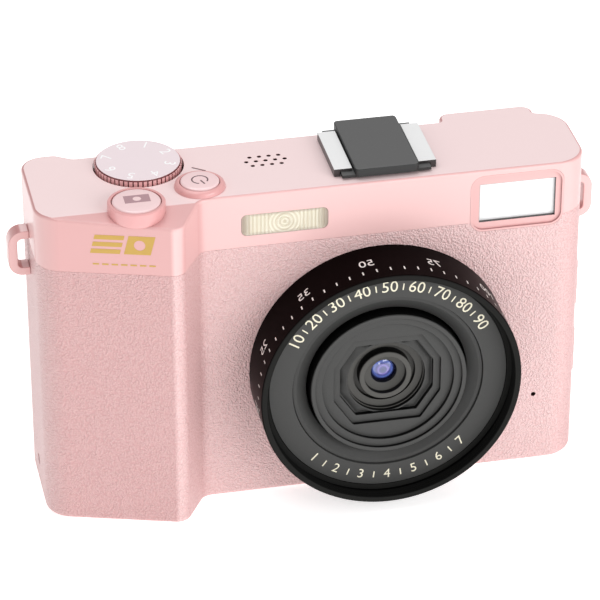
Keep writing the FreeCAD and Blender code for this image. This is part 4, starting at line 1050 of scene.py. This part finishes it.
SIGNS = {
    "menu_button": (-6.5, 44.5, [bar_outline(0, y, 2.4, 0.32) for y in (-0.8, 0, 0.8)]),
    "focus_button": (6.5, 44.5, [bar_outline(x, y, 0.9, 0.3) for x in (-1, 1) for y in (-1, 1)]
                     + [ring_points(0.45, 20)]),
    "play_button": (-6.5, 13.5, [[(-0.8, -1.1), (1.2, 0), (-0.8, 1.1)]]),
    "delete_button": (6.5, 13.5, [bar_outline(0, -0.2, 1.5, 1.6), bar_outline(0, 0.95, 2.1, 0.3)]),
}
for body, (along, z, outlines) in SIGNS.items():
    recut(body, body.replace("_", " "), button_pink, body)
    sign = back_sign(body.replace("_", " ") + " sign", outlines, BUTTON_X + along, z)
    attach(sign, body)

for body in ("direction_pad", "ok_button", "zoom_rocker"):
    recut(body, body.replace("_", " "), button_pink, body)

ARROW = [(-0.8, -0.45), (0.8, -0.45), (0, 0.55)]
arrows = []
for quarter in range(4):
    turn = Matrix.Rotation(math.tau * quarter / 4, 4, "Z")
    points = [turn @ Vector((x, y + 7.2, 0)) for x, y in ARROW]
    arrows.append([(point.x, point.y) for point in points])
pad_sign = back_sign("direction pad arrows", arrows, BUTTON_X, PAD_Z, 0.66)
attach(pad_sign, "direction_pad")
ok_sign = back_sign("middle button ring", [ring_points(0.7, 24)], BUTTON_X, PAD_Z)
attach(ok_sign, "ok_button")
rocker_sign = back_sign("zoom rocker signs", [
    bar_outline(-4.4, 0, 1.8, 0.35), bar_outline(4.4, 0.6, 0.35, 0.75),
    bar_outline(4.4, -0.6, 0.35, 0.75), bar_outline(4.4, 0, 1.8, 0.35)],
    BUTTON_X, 52.5)
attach(rocker_sign, "zoom_rocker")


# --- Base: tripod nut and battery door -----------------------------------------------
# A brass-coloured nut for the tripod screw, and a pink door on a steel pin, locked by a
# small dark latch, over the battery and the memory card.

NUT_TOP = 6.3
nut_thread = []
for ridge in range(7):
    height = 0.5 + ridge * 0.7
    nut_thread += [(2.95, height), (2.57, height + 0.35)]
nut_outside = [(6, 0), (6, 2.9), (6.9, 2.9), (6.9, NUT_TOP), (0, NUT_TOP), (0, 5.5), (2.95, 5.5)]
nut = turned("tripod nut", nut_outside + nut_thread[::-1] + [(2.7, 0)],
             (0, 0, 0), UP, 0.05, 96)
fitted(nut, plain_metal, "camera", "tripod_nut")

recut("battery_door", "battery door", grained_pink, "battery_door", 0.1 * MM)

latch_ribs = bars("latch ribs", dark_plastic, 7, (2.0, 0.35, 0.14), start=(-32.2, -1.6, 0.06),
                  step=(0, 0.9, 0))
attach(latch_ribs, "door_latch")
dressed(dark_plastic, "door_latch", "card_socket")
dressed(plain_metal, "door_pin", "usb_socket", "video_socket")
battery_skin = finish("battery sleeve", tint(52, 56, 66), 0.4, 2 * MM, 0.06)[0]
dressed(battery_skin, "battery")
card_black = finish("memory card plastic", tint(30, 32, 38), 0.45, 0.5 * MM, 0.08)[0]
dressed(card_black, "memory_card")


# --- Case screws ---------------------------------------------------------------------
# Seven small cross-headed steel screws hold the shells: four under the base, one in the
# left side and two in the right.

SCREWS = [((-20, -8.2, 0), (0, 0, -1)), ((-22, 8.2, 0), (0, 0, -1)), ((25, -8.2, 0), (0, 0, -1)),
          ((36, 8.2, 0), (0, 0, -1)), ((-70.5, 1, 6.5), (-1, 0, 0)), ((43.85, 1, 6.5), (1, 0, 0)),
          ((43.85, 1, 51), (1, 0, 0))]


def cross_outline(arm, half):
    """A cross of the given arm length and half width, at the angles of circle()."""
    points = []
    for x, y in circle(1, 48):
        ux, uy = max(abs(x) / MM, 1e-9), max(abs(y) / MM, 1e-9)
        reach = max(min(arm / ux, half / uy), min(arm / uy, half / ux))
        points.append((x * reach, y * reach))
    return points


head = [(circle(0, 48), -3.2), (circle(0.65, 48), -3.2), (circle(0.65, 48), -1.0),
        (circle(1.2, 48), -0.5), (circle(1.2, 48), -0.25), (circle(1.1, 48), -0.17),
        (cross_outline(0.72, 0.17), -0.15), (cross_outline(0.6, 0.12), -0.5), (circle(0, 48), -0.6)]
screw_steel = finish("screw steel", tint(150, 148, 150), 0.3, 0.5 * MM, 0.06,
                     fixed={"Metallic": 0.9})[0]
pattern = lofted("screw pattern", [(outline, height * MM) for outline, height in head],
                 (0, 0, 0), UP)

screw_tree, wire, ask = tree_opened("case screws", {
    "Spots": "Geometry", "Screw": "Object", "Finish": "Material"})
outward = wire.node("GeometryNodeInputNamedAttribute", {"data_type": "FLOAT_VECTOR"},
                    {"Name": "outward"}, "Attribute")
lean = wire.node("FunctionNodeAlignRotationToVector", {"axis": "Z"}, {"Vector": outward})
single = wire.node("GeometryNodeObjectInfo", inputs={"Object": ask["Screw"]}, output="Geometry")
copies = wire.node("GeometryNodeInstanceOnPoints",
                   inputs={"Points": ask["Spots"], "Instance": single, "Rotation": lean})
tree_closed(wire, copies, ask["Finish"])

spots = bpy.data.meshes.new("screw spots")
spots.from_pydata([Vector(place) * MM for place, _ in SCREWS], [], [])
outward = spots.attributes.new("outward", "FLOAT_VECTOR", "POINT")
outward.data.foreach_set("vector", [level for _, way in SCREWS for level in way])
case_screws = grown(screw_tree, "case screws", spots, Screw=pattern, Finish=screw_steel)
bpy.data.objects.remove(pattern)
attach(case_screws, "camera")
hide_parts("case_screws")


# --- Strap lugs and port cover -------------------------------------------------------
# A rigid pink loop for the strap on each side, and on the right a thin pink door over
# the two sockets.

for node in ("left_lug", "right_lug"):
    recut(node, node.replace("_", " "), satin_pink, "camera", 0.25 * MM)

recut("port_cover", "port cover", grained_pink, "port_cover", 0.08 * MM)


# --- Gold emblem ---------------------------------------------------------------------
# A plain gold emblem of slanted bars, hot-stamped on the smooth band above the grip.

GRIP_CORNER = Vector((-70.5, -11.85, 0))
EMBLEM_ALONG = 17.5
EMBLEM_HEIGHT = 66.8
GRIP_NOSE = Vector((-42.6, -20.3, 0))
along_grip = (GRIP_NOSE - GRIP_CORNER).normalized()
off_grip = Vector((along_grip.y, -along_grip.x, 0))
gold = finish("gold stamping", tint(196, 158, 74), 0.4, 1 * MM, 0.04)[0]
SLANT = 0.25
STAMP = (-0.05, 0.04)


def slanted(x, y, wide, tall):
    return [(px + py * SLANT, py) for px, py in bar_outline(x, y, wide, tall)]


emblem_parts = [flat_plate("emblem", slanted(-3.3, y, 6.0, 1.0), *STAMP, gold)
                for y in (1.6, 0, -1.6)]
emblem_parts.append(flat_plate("emblem", slanted(3.2, 0, 5.4, 4.2), *STAMP, gold,
                               ring_points(1.15, 40, (3.2, 0))))
emblem_parts += [flat_plate("emblem", bar_outline(x * 1.9, -4.6, 1.3, 0.34), *STAMP, gold)
                 for x in range(-3, 4)]
emblem = joined("gold emblem", emblem_parts)
sideways = Matrix((along_grip, Vector((0, 0, 1)), off_grip)).transposed().to_4x4()
emblem_middle = GRIP_CORNER + along_grip * EMBLEM_ALONG + Vector((0, 0, EMBLEM_HEIGHT))
emblem.data.transform(Matrix.Translation(emblem_middle * MM) @ sideways)
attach(emblem, "camera")


# --- Floor, lights and camera --------------------------------------------------------
# A plain white table under soft studio panels.

floor_mesh = bpy.data.meshes.new("floor")
floor_mesh.from_pydata([(-3, -3, 0), (3, -3, 0), (3, 3, 0), (-3, 3, 0)], [], [(0, 1, 2, 3)])
floor_mesh.transform(Matrix.Translation((0, 0, -0.05 * MM)))
floor = linked("floor", floor_mesh)
coated(floor, finish("white table", (0.9, 0.9, 0.9, 1), 0.6, 0.2, 0.01,
                     fixed={"Emission Color": (1, 1, 1, 1), "Emission Strength": 0.6})[0])

studio = bpy.data.worlds.new("studio")
studio.use_nodes = True
studio.node_tree.nodes["Background"].inputs["Color"].default_value = (1, 1, 1, 1)
studio.node_tree.nodes["Background"].inputs["Strength"].default_value = 0.42
bpy.context.scene.world = studio


def panel(name, place, aim, wide, tall, power):
    """A soft panel light turned towards a point."""
    lamp = bpy.data.lights.new(name, "AREA")
    lamp.shape = "RECTANGLE"
    lamp.size = wide
    lamp.size_y = tall
    lamp.energy = power
    holder = linked(name, lamp)
    holder.location = place
    holder.rotation_euler = (Vector(aim) - Vector(place)).to_track_quat("-Z", "Y").to_euler()


AIM = (-0.01, 0, 0.035)
panel("top panel", (-0.1, 0.15, 0.8), AIM, 0.7, 0.5, 3.0)
panel("front panel", (0.5, -0.7, 0.42), AIM, 0.8, 0.5, 4.5)
panel("left panel", (-0.8, -0.25, 0.3), AIM, 0.3, 0.5, 0.7)
panel("lens sparkle", (-0.09, -0.8, 0.05), AIM, 0.1, 0.2, 0.25)

lens_camera = bpy.data.cameras.new("view")
lens_camera.lens = 207.1
lens_camera.sensor_width = 36
viewer = linked("view", lens_camera)
viewer.location = (-0.141923, -0.605432, 0.410964)
viewer.rotation_euler = Vector((0.176738, 0.838762, -0.515016)).to_track_quat("-Z", "Y").to_euler()
bpy.context.scene.camera = viewer
bpy.context.scene.view_settings.view_transform = "Standard"
